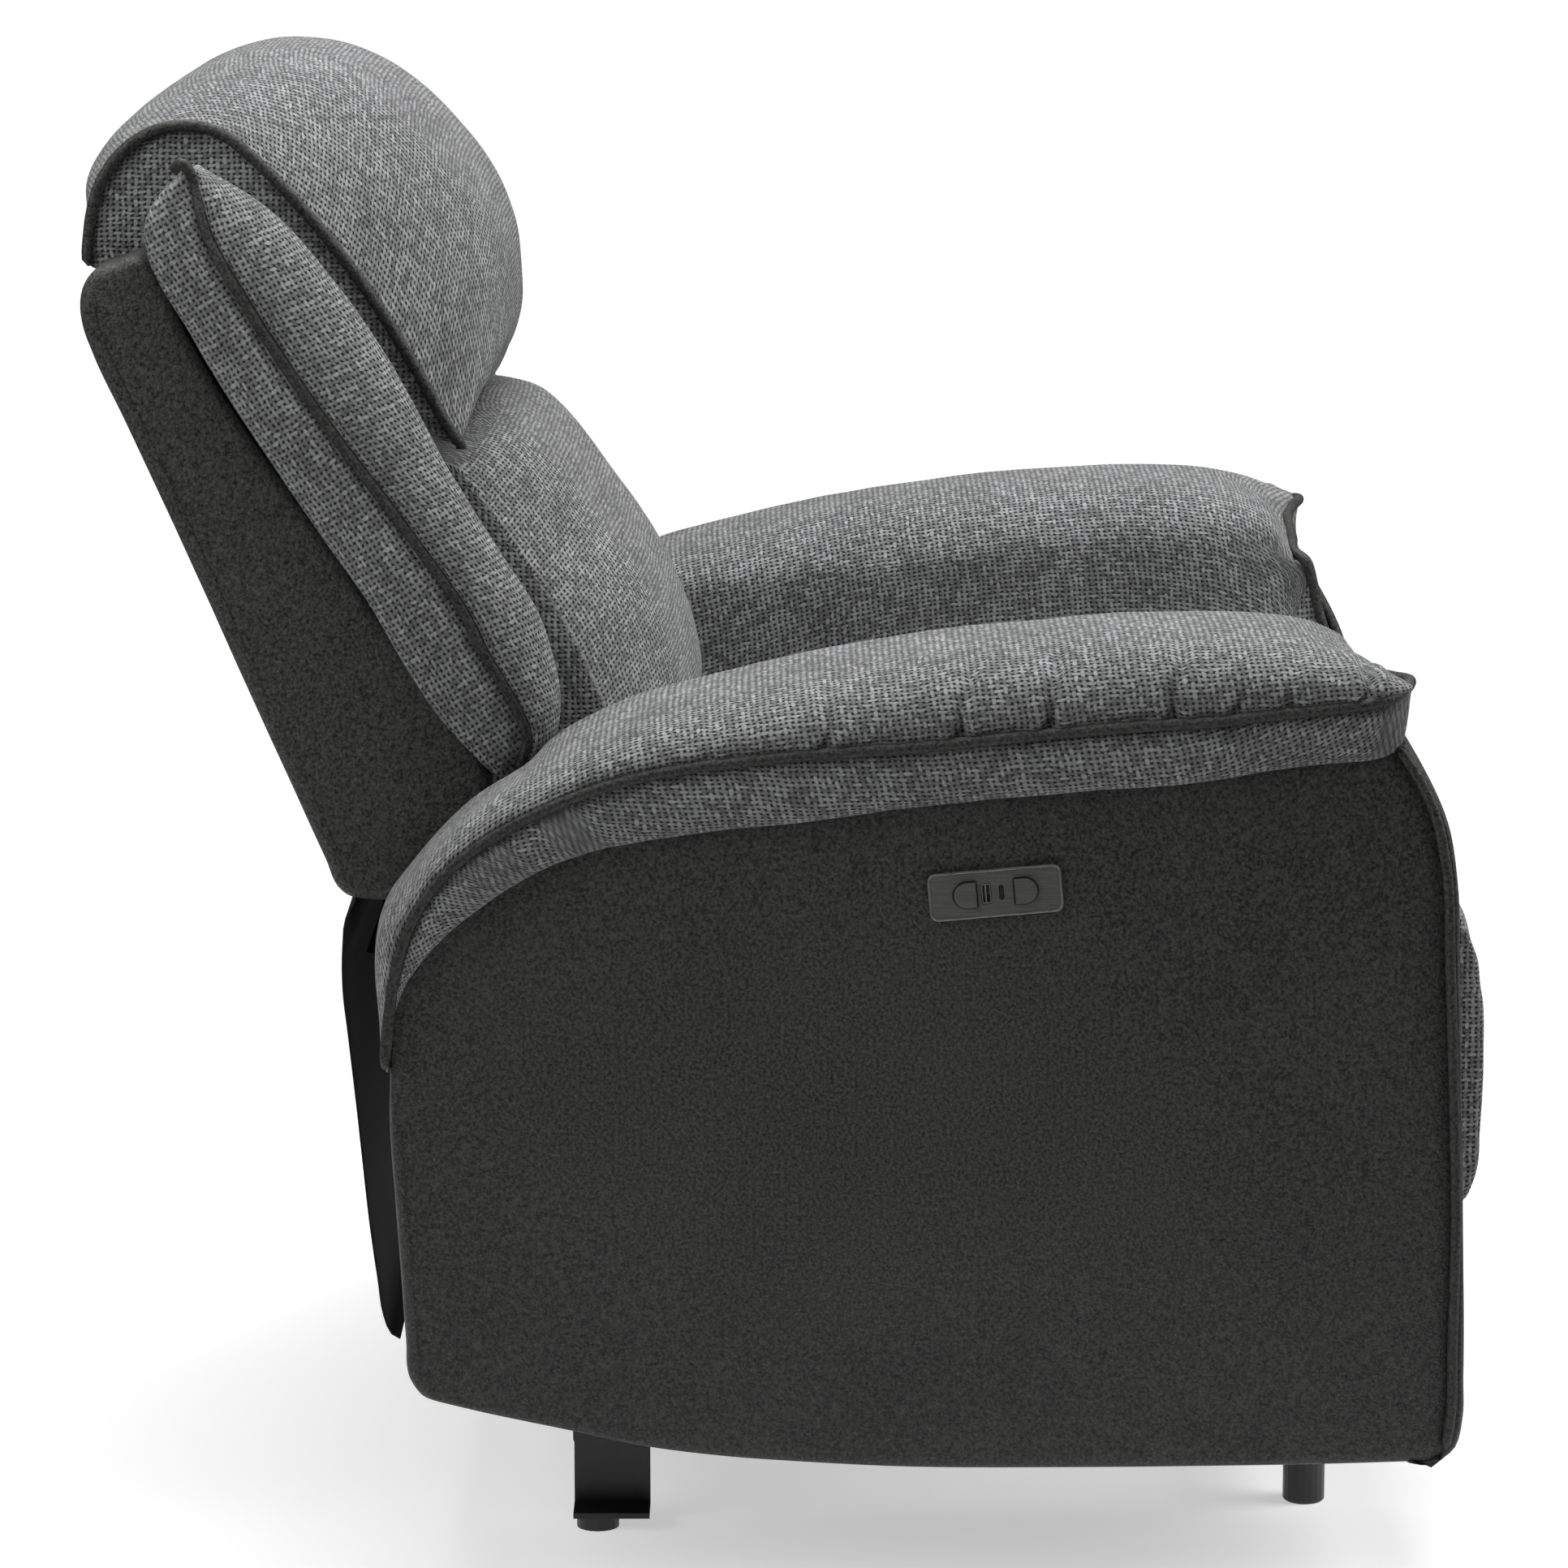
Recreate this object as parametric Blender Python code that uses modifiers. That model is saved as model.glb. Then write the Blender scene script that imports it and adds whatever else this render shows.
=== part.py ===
# Power recliner armchair. Metres, +Z up. The sitter faces -Y, and "right" is the sitter's right (-X).
# The origin lies on the floor under the middle of the chair. Side outlines are (forward, height) pairs,
# where forward is -Y.
import math

import bmesh
import bpy
from mathutils import Matrix, Vector

SIDES = {"right": -1, "left": 1}
GAP = 0.0005  # clearance between pieces that touch on the real chair

# Overall frame
ARM_OUTER_X = 0.470
ARM_INNER_X = 0.278
ARM_BACK_NOTCH_X = 0.350  # behind the notch the arm leaves room for the back
ARM_NOTCH_FORWARD = -0.150
PILLOW_OUTER_X = 0.485
LEATHER = 0.004
BACK_HALF_WIDTH = 0.333

# Arm side outline, (forward, height)
ARM_SEAM = [(-0.267, 0.403), (-0.254, 0.438), (-0.232, 0.469), (-0.199, 0.496), (-0.155, 0.524),
            (-0.112, 0.538), (-0.063, 0.547), (0.018, 0.560), (0.127, 0.569), (0.235, 0.574), (0.414, 0.579)]
ARM_FRONT = [(0.433, 0.560), (0.446, 0.535), (0.453, 0.494), (0.458, 0.370), (0.464, 0.149), (0.463, 0.112),
             (0.452, 0.096), (0.434, 0.092)]
ARM_BOTTOM = [(0.262, 0.090), (0.130, 0.089), (0.019, 0.093), (-0.037, 0.097), (-0.092, 0.104),
              (-0.147, 0.116), (-0.202, 0.128), (-0.246, 0.139)]
ARM_REAR = [(-0.255, 0.152), (-0.258, 0.199), (-0.263, 0.277), (-0.268, 0.368)]
ARM_CROWN = [(-0.279, 0.440), (-0.265, 0.472), (-0.231, 0.514), (-0.192, 0.550), (-0.148, 0.581),
             (-0.100, 0.602), (-0.053, 0.616), (0.019, 0.631), (0.129, 0.644), (0.240, 0.648), (0.295, 0.647),
             (0.364, 0.641), (0.406, 0.630), (0.431, 0.608)]

# Back side outline
SHELL_REAR = [(-0.250, 0.457), (-0.298, 0.457), (-0.308, 0.463), (-0.318, 0.485), (-0.372, 0.610),
              (-0.426, 0.734), (-0.476, 0.846), (-0.480, 0.871), (-0.473, 0.890)]
SHELL_FRONT = [(-0.437, 0.904), (-0.406, 0.847), (-0.369, 0.786), (-0.314, 0.708), (-0.260, 0.629),
               (-0.227, 0.584), (-0.206, 0.550), (-0.210, 0.500)]
BOLSTER_FRONT = [(-0.410, 0.957), (-0.392, 0.957), (-0.355, 0.936), (-0.305, 0.880), (-0.261, 0.812),
                 (-0.228, 0.750), (-0.195, 0.688), (-0.167, 0.636), (-0.156, 0.596), (-0.162, 0.559),
                 (-0.180, 0.541), (-0.200, 0.540)]
BOLSTER_REAR = [(-0.223, 0.586), (-0.256, 0.631), (-0.310, 0.710), (-0.365, 0.788), (-0.402, 0.849),
                (-0.430, 0.906)]
HEAD_PILLOW = [(-0.428, 0.913), (-0.478, 0.903), (-0.500, 0.935), (-0.454, 0.991), (-0.413, 1.019),
               (-0.359, 1.030), (-0.306, 1.017), (-0.241, 0.970), (-0.206, 0.917), (-0.193, 0.863),
               (-0.194, 0.821), (-0.212, 0.785), (-0.260, 0.774), (-0.345, 0.800), (-0.394, 0.862)]
LUMBAR = [(-0.205, 0.770), (-0.183, 0.766), (-0.159, 0.746), (-0.130, 0.707), (-0.100, 0.667),
          (-0.076, 0.622), (-0.063, 0.585), (-0.060, 0.550), (-0.074, 0.517), (-0.110, 0.507),
          (-0.235, 0.512), (-0.262, 0.560), (-0.300, 0.640), (-0.335, 0.720), (-0.345, 0.762), (-0.262, 0.758)]
BOLSTER_X = (0.268, 0.343)
LUMBAR_HALF_WIDTH = 0.238
HEAD_PILLOW_HALF_WIDTH = 0.2645

# Seat
SEAT_HALF_WIDTH = 0.272
SEAT_CUSHION_FORWARD = (-0.125, 0.452)
SEAT_CUSHION_HEIGHT = (0.4365, 0.500)
SEAT_LIP_UNDERSIDE = 0.4515
SEAT_RAIL_HEIGHT = (0.381, 0.430)
SEAT_RAIL_X = (0.2275, 0.2495)
SEAT_FRONT_RAIL = (0.393, 0.414)
SEAT_REAR_RAIL = (-0.121, -0.100)
SPRING_X = (-0.135, 0.0, 0.135)
SPRING_WIRE_RADIUS = 0.0019
SPRING_HALF_WIDTH = 0.022
SPRING_RUNS = 14

# Floor frame, on which the whole upper chair slides forward as it reclines
FRAME_TUBE_HEIGHT = (0.055, 0.080)
FRAME_OUTER_X = 0.295
FRAME_INNER_X = 0.265
FRAME_FORWARD = (-0.150, 0.389)
FRAME_TUBE_WIDTH = 0.030
FOOT_RADIUS = 0.015
FRONT_FOOT = (0.250, 0.374)  # X and forward
REAR_GLIDE = (0.312, -0.132)
REAR_GLIDE_HEIGHT = 0.010

# Steel plates, in layers across the chair, from the mechanism plate inwards
PLATE_X = (0.2500, 0.2540)
LAYER_1 = (0.2435, 0.2475)
LAYER_2 = (0.2370, 0.2410)
LAYER_3 = (0.2305, 0.2345)
LAYER_4 = (0.2240, 0.2280)
BAR_RADIUS = 0.011
PIN_RADIUS = 0.004
PIN_CLEARANCE = 0.0006

# Joint axes, (forward, height)
RECLINE_PIVOT = (-0.235, 0.360)
DRIVE_PIVOT = (0.270, 0.341)
FRONT_PIVOT = (0.323, 0.368)

# Footrest linkage with the footrest folded: lengths, and angles up from straight ahead in degrees
REAR_LINK_LENGTH = 0.235
REAR_LINK_ANGLE = -122.0
LONG_LINK_END = (0.385, 0.346)  # where the long link carries the footrest bracket
FRONT_LINK_LENGTH = 0.2675
FRONT_LINK_ANGLE = -125.9
OUTER_LINK_LENGTH = 0.2645
OUTER_LINK_ANGLE = 39.9
CRANK_LENGTH = 0.060
CRANK_ANGLE = -146.0

# Footrest
FOOTREST_BOARD_FORWARD = (0.418, 0.434)
FOOTREST_BOARD_HEIGHT = (0.226, 0.440)
FOOTREST_PAD = [(0.4345, 0.222), (0.462, 0.217), (0.485, 0.219), (0.495, 0.239), (0.499, 0.280),
                (0.500, 0.328), (0.498, 0.375), (0.490, 0.414), (0.477, 0.441), (0.455, 0.449),
                (0.4345, 0.444), (0.4345, 0.333)]

# Actuator under the seat
TRACK_HEIGHT = (0.228, 0.248)
TRACK_HALF_WIDTH = 0.012
CARRIAGE_START = 0.2203

# Control plate on the right arm: centre (forward, height) and tilt about X
CONTROL_CENTRE = (0.1415, 0.4915)
CONTROL_TILT = math.radians(5.0)
CONTROL_SIZE = (0.087, 0.029)
CONTROL_THICKNESS = 0.003
BUTTON_SIZE = (0.015, 0.017)
BUTTON_OFFSET = 0.0205
BUTTON_PROUD = 0.0022
USB_SIZE = (0.0060, 0.0136)
USB_OFFSET = -0.0062
LENS_OFFSET = 0.0040

for thing in list(bpy.data.objects):
    bpy.data.objects.remove(thing)
chair = bpy.data.collections.new("recliner_armchair")
cutters = bpy.data.collections.new("cutters")
bpy.context.scene.collection.children.link(chair)
bpy.context.scene.collection.children.link(cutters)


def finish(name, colour, roughness, metallic=0.0):
    material = bpy.data.materials.new(name)
    material.use_nodes = True
    shader = material.node_tree.nodes["Principled BSDF"]
    shader.inputs["Base Color"].default_value = (*colour, 1.0)
    shader.inputs["Roughness"].default_value = roughness
    shader.inputs["Metallic"].default_value = metallic
    return material


FABRIC = finish("grey_chenille", (0.20, 0.20, 0.20), 0.90)
LEATHERETTE = finish("charcoal_leather", (0.030, 0.030, 0.028), 0.55)
BLACK_STEEL = finish("black_steel", (0.020, 0.020, 0.022), 0.45, 0.6)
ZINC_STEEL = finish("zinc_steel", (0.42, 0.42, 0.41), 0.40, 1.0)
GUNMETAL = finish("gunmetal", (0.12, 0.12, 0.12), 0.35, 1.0)
BLACK_PLASTIC = finish("black_plastic", (0.015, 0.015, 0.015), 0.40)
WOOD = finish("plywood", (0.50, 0.34, 0.18), 0.75)
DUST_CLOTH = finish("dust_cloth", (0.012, 0.012, 0.012), 0.95)

# A plate drawn in side view: local X is forward, local Y is up, and its thickness runs across the chair.
SIDE_VIEW = Matrix(((0, 0, -1, 0), (-1, 0, 0, 0), (0, 1, 0, 0), (0, 0, 0, 1)))
# A section drawn as seen from the front: local X is to -X, local Y is up, and its length runs forward.
FRONT_VIEW = Matrix(((-1, 0, 0, 0), (0, 0, -1, 0), (0, 1, 0, 0), (0, 0, 0, 1)))


def at(forward, height, x=0.0):
    return Vector((x, -forward, height))


def add(name, mesh, material, place=None, collection=chair):
    obj = bpy.data.objects.new(name, mesh)
    if place is not None:
        obj.matrix_world = place
    if material is not None:
        mesh.materials.append(material)
    collection.objects.link(obj)
    if collection is cutters:
        obj.hide_render = True
        obj.display_type = "WIRE"
    return obj


def as_mesh(name, curve, place):
    """A curve made a closed mesh, its caps welded to its sides."""
    temporary = bpy.data.objects.new(name + "_curve", curve)
    bpy.context.scene.collection.objects.link(temporary)
    graph = bpy.context.evaluated_depsgraph_get()
    mesh = bpy.data.meshes.new_from_object(temporary.evaluated_get(graph))
    bpy.data.objects.remove(temporary)
    mesh.name = name
    work = bmesh.new()
    work.from_mesh(mesh)
    bmesh.ops.remove_doubles(work, verts=work.verts, dist=0.00001)
    bmesh.ops.recalc_face_normals(work, faces=work.faces)
    work.to_mesh(mesh)
    work.free()
    mesh.materials.clear()
    return mesh


def outline_mesh(name, outlines, thickness, rounding=0.0, smooth=False, place=None):
    """Flat outlines (the first is the edge, the others are holes) given a thickness."""
    curve = bpy.data.curves.new(name, "CURVE")
    curve.dimensions = "2D"
    curve.fill_mode = "BOTH"
    curve.extrude = thickness / 2 - rounding
    curve.bevel_depth = rounding
    curve.bevel_resolution = 1
    curve.offset = -rounding
    curve.resolution_u = 3
    for outline in outlines:
        spline = curve.splines.new("BEZIER" if smooth else "POLY")
        points = spline.bezier_points if smooth else spline.points
        points.add(len(outline) - 1)
        for point, (u, v) in zip(points, outline):
            point.co = (u, v, 0) if smooth else (u, v, 0, 1)
            if smooth:
                point.handle_left_type = "AUTO"
                point.handle_right_type = "AUTO"
        spline.use_cyclic_u = True
    return as_mesh(name, curve, place)


def side_plate(name, outlines, x_range, material, rounding=0.0, smooth=False, collection=chair):
    low, high = sorted(x_range)
    mesh = outline_mesh(name, outlines, high - low, rounding, smooth)
    return add(name, mesh, material, Matrix.Translation(((low + high) / 2, 0, 0)) @ SIDE_VIEW, collection)


def box(name, x_range, forward, height, material, rounding=0.0, collection=chair):
    mesh = bpy.data.meshes.new(name)
    work = bmesh.new()
    bmesh.ops.create_cube(work, size=1.0)
    size = (abs(x_range[1] - x_range[0]), abs(forward[1] - forward[0]), abs(height[1] - height[0]))
    bmesh.ops.scale(work, vec=size, verts=work.verts)
    work.to_mesh(mesh)
    work.free()
    centre = at((forward[0] + forward[1]) / 2, (height[0] + height[1]) / 2, (x_range[0] + x_range[1]) / 2)
    obj = add(name, mesh, material, Matrix.Translation(centre), collection)
    if rounding:
        bevel = obj.modifiers.new("edges", "BEVEL")
        bevel.width = rounding
        bevel.segments = 2
    return obj


def rod(name, start, end, radius, material, segments=16, collection=chair):
    mesh = bpy.data.meshes.new(name)
    work = bmesh.new()
    length = (end - start).length
    bmesh.ops.create_cone(work, cap_ends=True, segments=segments, radius1=radius, radius2=radius, depth=length)
    work.to_mesh(mesh)
    work.free()
    turn = Vector((0, 0, 1)).rotation_difference((end - start).normalized()).to_matrix().to_4x4()
    return add(name, mesh, material, Matrix.Translation((start + end) / 2) @ turn, collection)


def combine(obj, other, operation):
    modifier = obj.modifiers.new(other.name, "BOOLEAN")
    modifier.operation = operation
    modifier.object = other
    modifier.solver = "EXACT"


def loft(name, rings, material):
    """Closed rings of equal counts skinned one to the next, with flat ends."""
    mesh = bpy.data.meshes.new(name)
    work = bmesh.new()
    rows = [[work.verts.new(point) for point in ring] for ring in rings]
    for row, following in zip(rows, rows[1:]):
        for i in range(len(row)):
            j = (i + 1) % len(row)
            work.faces.new((row[i], row[j], following[j], following[i]))
    work.faces.new(rows[0])
    work.faces.new(rows[-1])
    bmesh.ops.recalc_face_normals(work, faces=work.faces)
    work.to_mesh(mesh)
    work.free()
    mesh.shade_smooth()
    return add(name, mesh, material)


def padded(name, outline, x_range, material, roundness=0.018):
    """A cushion whose side outline shrinks a little towards both ends."""
    low, high = sorted(x_range)
    middle = [sum(values) / len(outline) for values in zip(*outline)]
    reach = max(math.dist(point, middle) for point in outline)
    steps = [(0.0, 1.0), (0.2, 0.4), (0.55, 0.12), (1.0, 0.0)]
    across = [(low + roundness * t, s) for t, s in steps] + [(high - roundness * t, s) for t, s in reversed(steps)]
    rings = []
    for x, inset in across:
        scale = 1 - inset * roundness / reach
        rings.append([at(middle[0] + (f - middle[0]) * scale, middle[1] + (h - middle[1]) * scale, x)
                      for f, h in outline])
    return loft(name, rings, material)


def level(points, forward):
    """The height of an outline at a distance forward."""
    if forward <= points[0][0]:
        return points[0][1]
    for (f0, h0), (f1, h1) in zip(points, points[1:]):
        if forward <= f1:
            return h0 + (h1 - h0) * (forward - f0) / (f1 - f0)
    return points[-1][1]


def rounded_ring(forward, x_range, height, count=18, power=3.2):
    """A section across the chair, between a rectangle and an ellipse."""
    ring = []
    for i in range(count):
        angle = 2 * math.pi * i / count
        c, s = math.cos(angle), math.sin(angle)
        x = math.copysign(abs(c) ** (2 / power), c) * (x_range[1] - x_range[0]) / 2
        z = math.copysign(abs(s) ** (2 / power), s) * (height[1] - height[0]) / 2
        ring.append(at(forward, z + (height[0] + height[1]) / 2, x + (x_range[0] + x_range[1]) / 2))
    return ring


def circle(centre, radius, count=12):
    return [(centre[0] + radius * math.cos(2 * math.pi * i / count),
             centre[1] + radius * math.sin(2 * math.pi * i / count)) for i in range(count)]


def bar(start, end, radius=BAR_RADIUS, count=6):
    """The outline of a flat bar with round ends."""
    angle = math.atan2(end[1] - start[1], end[0] - start[0])
    outline = []
    for centre, turn in ((start, angle + math.pi / 2), (end, angle - math.pi / 2)):
        for i in range(count + 1):
            t = turn + math.pi * i / count
            outline.append((centre[0] + radius * math.cos(t), centre[1] + radius * math.sin(t)))
    return outline


def reach(start, length, degrees):
    angle = math.radians(degrees)
    return (start[0] + length * math.cos(angle), start[1] + length * math.sin(angle))


def hole(centre):
    return circle(centre, PIN_RADIUS + PIN_CLEARANCE)


def pin(obj, centre, side, inner, outer, radius=PIN_RADIUS):
    """A pivot pin made one with its plate: it runs across the chair between two distances from the middle."""
    peg = rod(f"{obj.name}_pin_{len(obj.modifiers)}", at(*centre, side * inner), at(*centre, side * outer),
              radius, None, 12, cutters)
    combine(obj, peg, "UNION")


def ride(objects, axis):
    """The moving pieces hang on an empty that stands on their joint's axis."""
    for obj in objects:
        obj.parent = axis
        obj.matrix_parent_inverse = axis.matrix_world.inverted()


def axis_at(name, centre, parent=None):
    empty = bpy.data.objects.new(name, None)
    empty.location = at(*centre)
    empty.empty_display_size = 0.03
    chair.objects.link(empty)
    bpy.context.view_layer.update()
    if parent is not None:
        ride([empty], parent)
    return empty


def mirrored(x_range, side):
    return sorted((side * x_range[0], side * x_range[1]))


def grown(outline, amount):
    """An outline pushed outwards from its middle (negative shrinks it)."""
    middle = [sum(values) / len(outline) for values in zip(*outline)]
    moved = []
    for u, v in outline:
        distance = math.dist((u, v), middle)
        moved.append((middle[0] + (u - middle[0]) * (1 + amount / distance),
                      middle[1] + (v - middle[1]) * (1 + amount / distance)))
    return moved


# Floor frame
def floor_frame():
    front, rear = FRAME_FORWARD[1], FRAME_FORWARD[0]
    ring = [(-FRAME_OUTER_X, rear), (FRAME_OUTER_X, rear), (FRAME_OUTER_X, front), (-FRAME_OUTER_X, front)]
    window = [(-FRAME_INNER_X, rear + FRAME_TUBE_WIDTH), (FRAME_INNER_X, rear + FRAME_TUBE_WIDTH),
              (FRAME_INNER_X, front - FRAME_TUBE_WIDTH), (-FRAME_INNER_X, front - FRAME_TUBE_WIDTH)]
    low, high = FRAME_TUBE_HEIGHT
    mesh = outline_mesh("base_frame", [ring, window], high - low, 0.003)
    turn = Matrix(((1, 0, 0, 0), (0, -1, 0, 0), (0, 0, -1, 0), (0, 0, 0, 1)))
    add("base_frame", mesh, BLACK_STEEL, Matrix.Translation((0, 0, (low + high) / 2)) @ turn)
    for label, side in SIDES.items():
        x, forward = side * FRONT_FOOT[0], FRONT_FOOT[1]
        foot = rod(f"front_foot_{label}", at(forward, 0.0, x), at(forward, low - GAP, x), FOOT_RADIUS,
                   BLACK_PLASTIC, 20)
        edge = foot.modifiers.new("edges", "BEVEL")
        edge.width = 0.0015
        edge.segments = 1
        x, forward = side * REAR_GLIDE[0], REAR_GLIDE[1]
        rod(f"rear_glide_{label}", at(forward, 0.0, x), at(forward, REAR_GLIDE_HEIGHT - GAP, x), FOOT_RADIUS,
            BLACK_PLASTIC, 20)
        wall = box(f"rear_bracket_{label}", mirrored((FRAME_OUTER_X + GAP, FRAME_OUTER_X + 0.0045), side),
                   (-0.149, -0.095), (REAR_GLIDE_HEIGHT, high), BLACK_STEEL)
        flange = box(f"rear_flange_{label}", mirrored((FRAME_OUTER_X + 0.001, 0.329), side), (-0.149, -0.095),
                     (REAR_GLIDE_HEIGHT, REAR_GLIDE_HEIGHT + 0.004), None, 0, cutters)
        combine(wall, flange, "UNION")


# The steel side plates slide on the floor frame and carry the seat, the arms, the back and the footrest.
def mechanism(side, label):
    plate = side_plate(
        f"mechanism_plate_{label}",
        [[(-0.262, 0.345), (-0.262, 0.375), (-0.235, 0.388), (-0.205, 0.380), (-0.120, 0.380), (0.352, 0.380),
          (0.352, 0.346), (0.290, 0.308), (0.235, 0.296), (0.190, 0.200), (0.180, 0.0810), (-0.130, 0.0810),
          (-0.150, 0.160), (-0.170, 0.300)],
         [(-0.080, 0.140), (0.130, 0.140), (0.150, 0.210), (0.120, 0.300), (-0.100, 0.300), (-0.115, 0.210)]],
        mirrored(PLATE_X, side), ZINC_STEEL)
    flange = box(f"slide_flange_{label}", mirrored((PLATE_X[1] - 0.001, FRAME_OUTER_X - 0.001), side),
                 (-0.130, 0.180), (0.0810, 0.0845), None, 0, cutters)
    combine(plate, flange, "UNION")
    pin(plate, RECLINE_PIVOT, side, LAYER_1[0] - 0.002, PLATE_X[1] - 0.001)
    pin(plate, FRONT_PIVOT, side, LAYER_3[0] - 0.002, PLATE_X[1] - 0.001)
    pin(plate, DRIVE_PIVOT, side, LAYER_1[0] + 0.0005, PLATE_X[1] - 0.001)


def seat_frame():
    rail_low, rail_high = SEAT_RAIL_HEIGHT
    for label, side in SIDES.items():
        box(f"seat_rail_{label}", mirrored(SEAT_RAIL_X, side), (SEAT_REAR_RAIL[1] + GAP, SEAT_FRONT_RAIL[0] - GAP),
            (rail_low, rail_high), WOOD, 0.002)
        mechanism(side, label)
    ends = SEAT_RAIL_X[1]
    box("seat_rail_front", (-ends, ends), SEAT_FRONT_RAIL, (rail_low, rail_high), WOOD, 0.002)
    box("seat_rail_rear", (-ends, ends), SEAT_REAR_RAIL, (rail_low, rail_high), WOOD, 0.002)
    rod("mechanism_cross_tube", at(-0.105, 0.238, -PLATE_X[0] + GAP), at(-0.105, 0.238, PLATE_X[0] - GAP), 0.011,
        BLACK_STEEL)
    for number, x in enumerate(SPRING_X, 1):
        seat_spring(f"seat_spring_{number}", x)
    seat_cushion()


def seat_spring(name, x):
    """A sinuous wire that snakes from the rear rail to the front rail, just above both."""
    start, end = SEAT_REAR_RAIL[0] + 0.008, SEAT_FRONT_RAIL[1] - 0.008
    height = SEAT_RAIL_HEIGHT[1] + SPRING_WIRE_RADIUS + GAP
    curve = bpy.data.curves.new(name, "CURVE")
    curve.dimensions = "3D"
    curve.bevel_depth = SPRING_WIRE_RADIUS
    curve.bevel_resolution = 0
    curve.use_fill_caps = True
    spline = curve.splines.new("POLY")
    route = []
    for i in range(SPRING_RUNS + 1):
        forward = start + (end - start) * i / SPRING_RUNS
        swing = SPRING_HALF_WIDTH if i % 2 else -SPRING_HALF_WIDTH
        for across in (-0.75, 0.75):
            route.append(at(forward, height, x + swing * across * (1 if i % 2 else -1) * (1 if i % 2 else -1)))
    spline.points.add(len(route) - 1)
    for point, place in zip(spline.points, route):
        point.co = (*place, 1)
    add(name, as_mesh(name, curve, None), ZINC_STEEL)


def seat_cushion():
    """The cushion fills the box between the arms, and its front lip laps over the folded footrest."""
    rear, front = SEAT_CUSHION_FORWARD
    low, high = SEAT_CUSHION_HEIGHT
    lip = FOOTREST_BOARD_FORWARD[0] - 0.010
    stations = [(rear, 0.016), (rear + 0.007, 0.005), (rear + 0.023, 0.0), (0.200, 0.0), (lip - 0.013, 0.0),
                (lip, 0.0), (front - 0.018, 0.0), (front - 0.006, 0.004), (front, 0.012)]
    rings = []
    for forward, inset in stations:
        width = SEAT_HALF_WIDTH - inset
        under = SEAT_LIP_UNDERSIDE if forward >= lip else low
        rings.append(rounded_ring(forward, (-width, width), (under + inset * 0.4, high - inset), 20, 5.0))
    loft("seat_cushion", rings, FABRIC)


# Arms
def arm(side, label):
    outline = ARM_SEAM + ARM_FRONT + ARM_BOTTOM + ARM_REAR
    cover = side_plate(f"arm_cover_{label}", [outline], mirrored((ARM_INNER_X + 0.006, ARM_OUTER_X), side),
                       LEATHERETTE)
    inner = [(-0.262, 0.05), (0.4585, 0.05), (0.4595, 0.149), (0.4485, 0.494), (0.4415, 0.535), (0.4295, 0.557),
             (0.411, 0.572), (0.411, 0.62), (-0.262, 0.62)]
    inner = [(max(f, -0.2505), h) if h < 0.15 else (f, h) for f, h in inner]
    hollow = side_plate(f"arm_hollow_{label}", [inner], mirrored((0.20, ARM_OUTER_X - LEATHER), side), None, 0,
                        False, cutters)
    combine(cover, hollow, "DIFFERENCE")
    notch = box(f"arm_notch_{label}", mirrored((0.20, ARM_BACK_NOTCH_X), side), (-0.30, ARM_NOTCH_FORWARD),
                (0.05, 0.62), None, 0, cutters)
    combine(cover, notch, "DIFFERENCE")

    top = [(f, h - 0.003) for f, h in ARM_SEAM if ARM_NOTCH_FORWARD < f < 0.4]
    top += [(0.404, 0.5745), (0.428, 0.553), (0.440, 0.528)]
    lower = [(0.447, 0.494), (0.4565, 0.149), (0.4565, 0.105), (0.130, 0.100), (-0.092, 0.112), (-0.244, 0.146),
             (-0.250, 0.385), (ARM_NOTCH_FORWARD + 0.003, 0.385)]
    side_plate(f"arm_inner_panel_{label}", [top + lower], mirrored((ARM_INNER_X, ARM_INNER_X + 0.005), side), FABRIC)
    board = [(f, h - 0.006) for f, h in top] + [(0.440, 0.494), (0.450, 0.149), (0.450, 0.110), (-0.092, 0.118),
                                               (-0.240, 0.152), (-0.246, 0.380), (ARM_NOTCH_FORWARD + 0.003, 0.380)]
    side_plate(f"arm_board_{label}", [board], mirrored((ARM_INNER_X + 0.0065, ARM_INNER_X + 0.0245), side), WOOD)
    arm_pillow(side, label)


def arm_pillow(side, label):
    """The soft roll on the arm: it rises from the seam to the crown and is narrower where the back sits."""
    rings = []
    stations = (-0.2790, -0.272, -0.250, -0.215, -0.175, -0.157, -0.138, -0.090, -0.020, 0.080, 0.200, 0.320, 0.380,
                0.408, 0.422, 0.431)
    for forward in stations:
        inner = ARM_BACK_NOTCH_X if forward < ARM_NOTCH_FORWARD else ARM_INNER_X - 0.002
        high = level(ARM_CROWN, forward)
        low = min(level(ARM_SEAM, min(forward, 0.414)) + 0.0025, high - 0.010)
        if forward < -0.267:
            low = 0.418 + 0.8 * (-0.267 - forward)
        if forward > 0.414:
            low = 0.583 + 0.6 * (forward - 0.414)
        narrow = 0.010 if forward in (stations[0], stations[-1]) else 0.0
        rings.append(rounded_ring(forward, mirrored((inner + narrow, PILLOW_OUTER_X - narrow), side), (low, high)))
    loft(f"arm_pillow_{label}", rings, FABRIC)


# Control plate, its buttons and its charging socket, on the outside of the right arm
CONTROL_PLACE = Matrix.Translation(at(*CONTROL_CENTRE)) @ SIDE_VIEW @ Matrix.Rotation(CONTROL_TILT, 4, "Z")


def control_piece(name, outlines, depth, material, collection=chair, rounding=0.0):
    """A piece drawn in the plate's own plane, between two distances from the middle of the chair."""
    inner, outer = sorted(depth)
    mesh = outline_mesh(name, outlines, outer - inner, rounding)
    return add(name, mesh, material, Matrix.Translation((-(inner + outer) / 2, 0, 0)) @ CONTROL_PLACE, collection)


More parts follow.
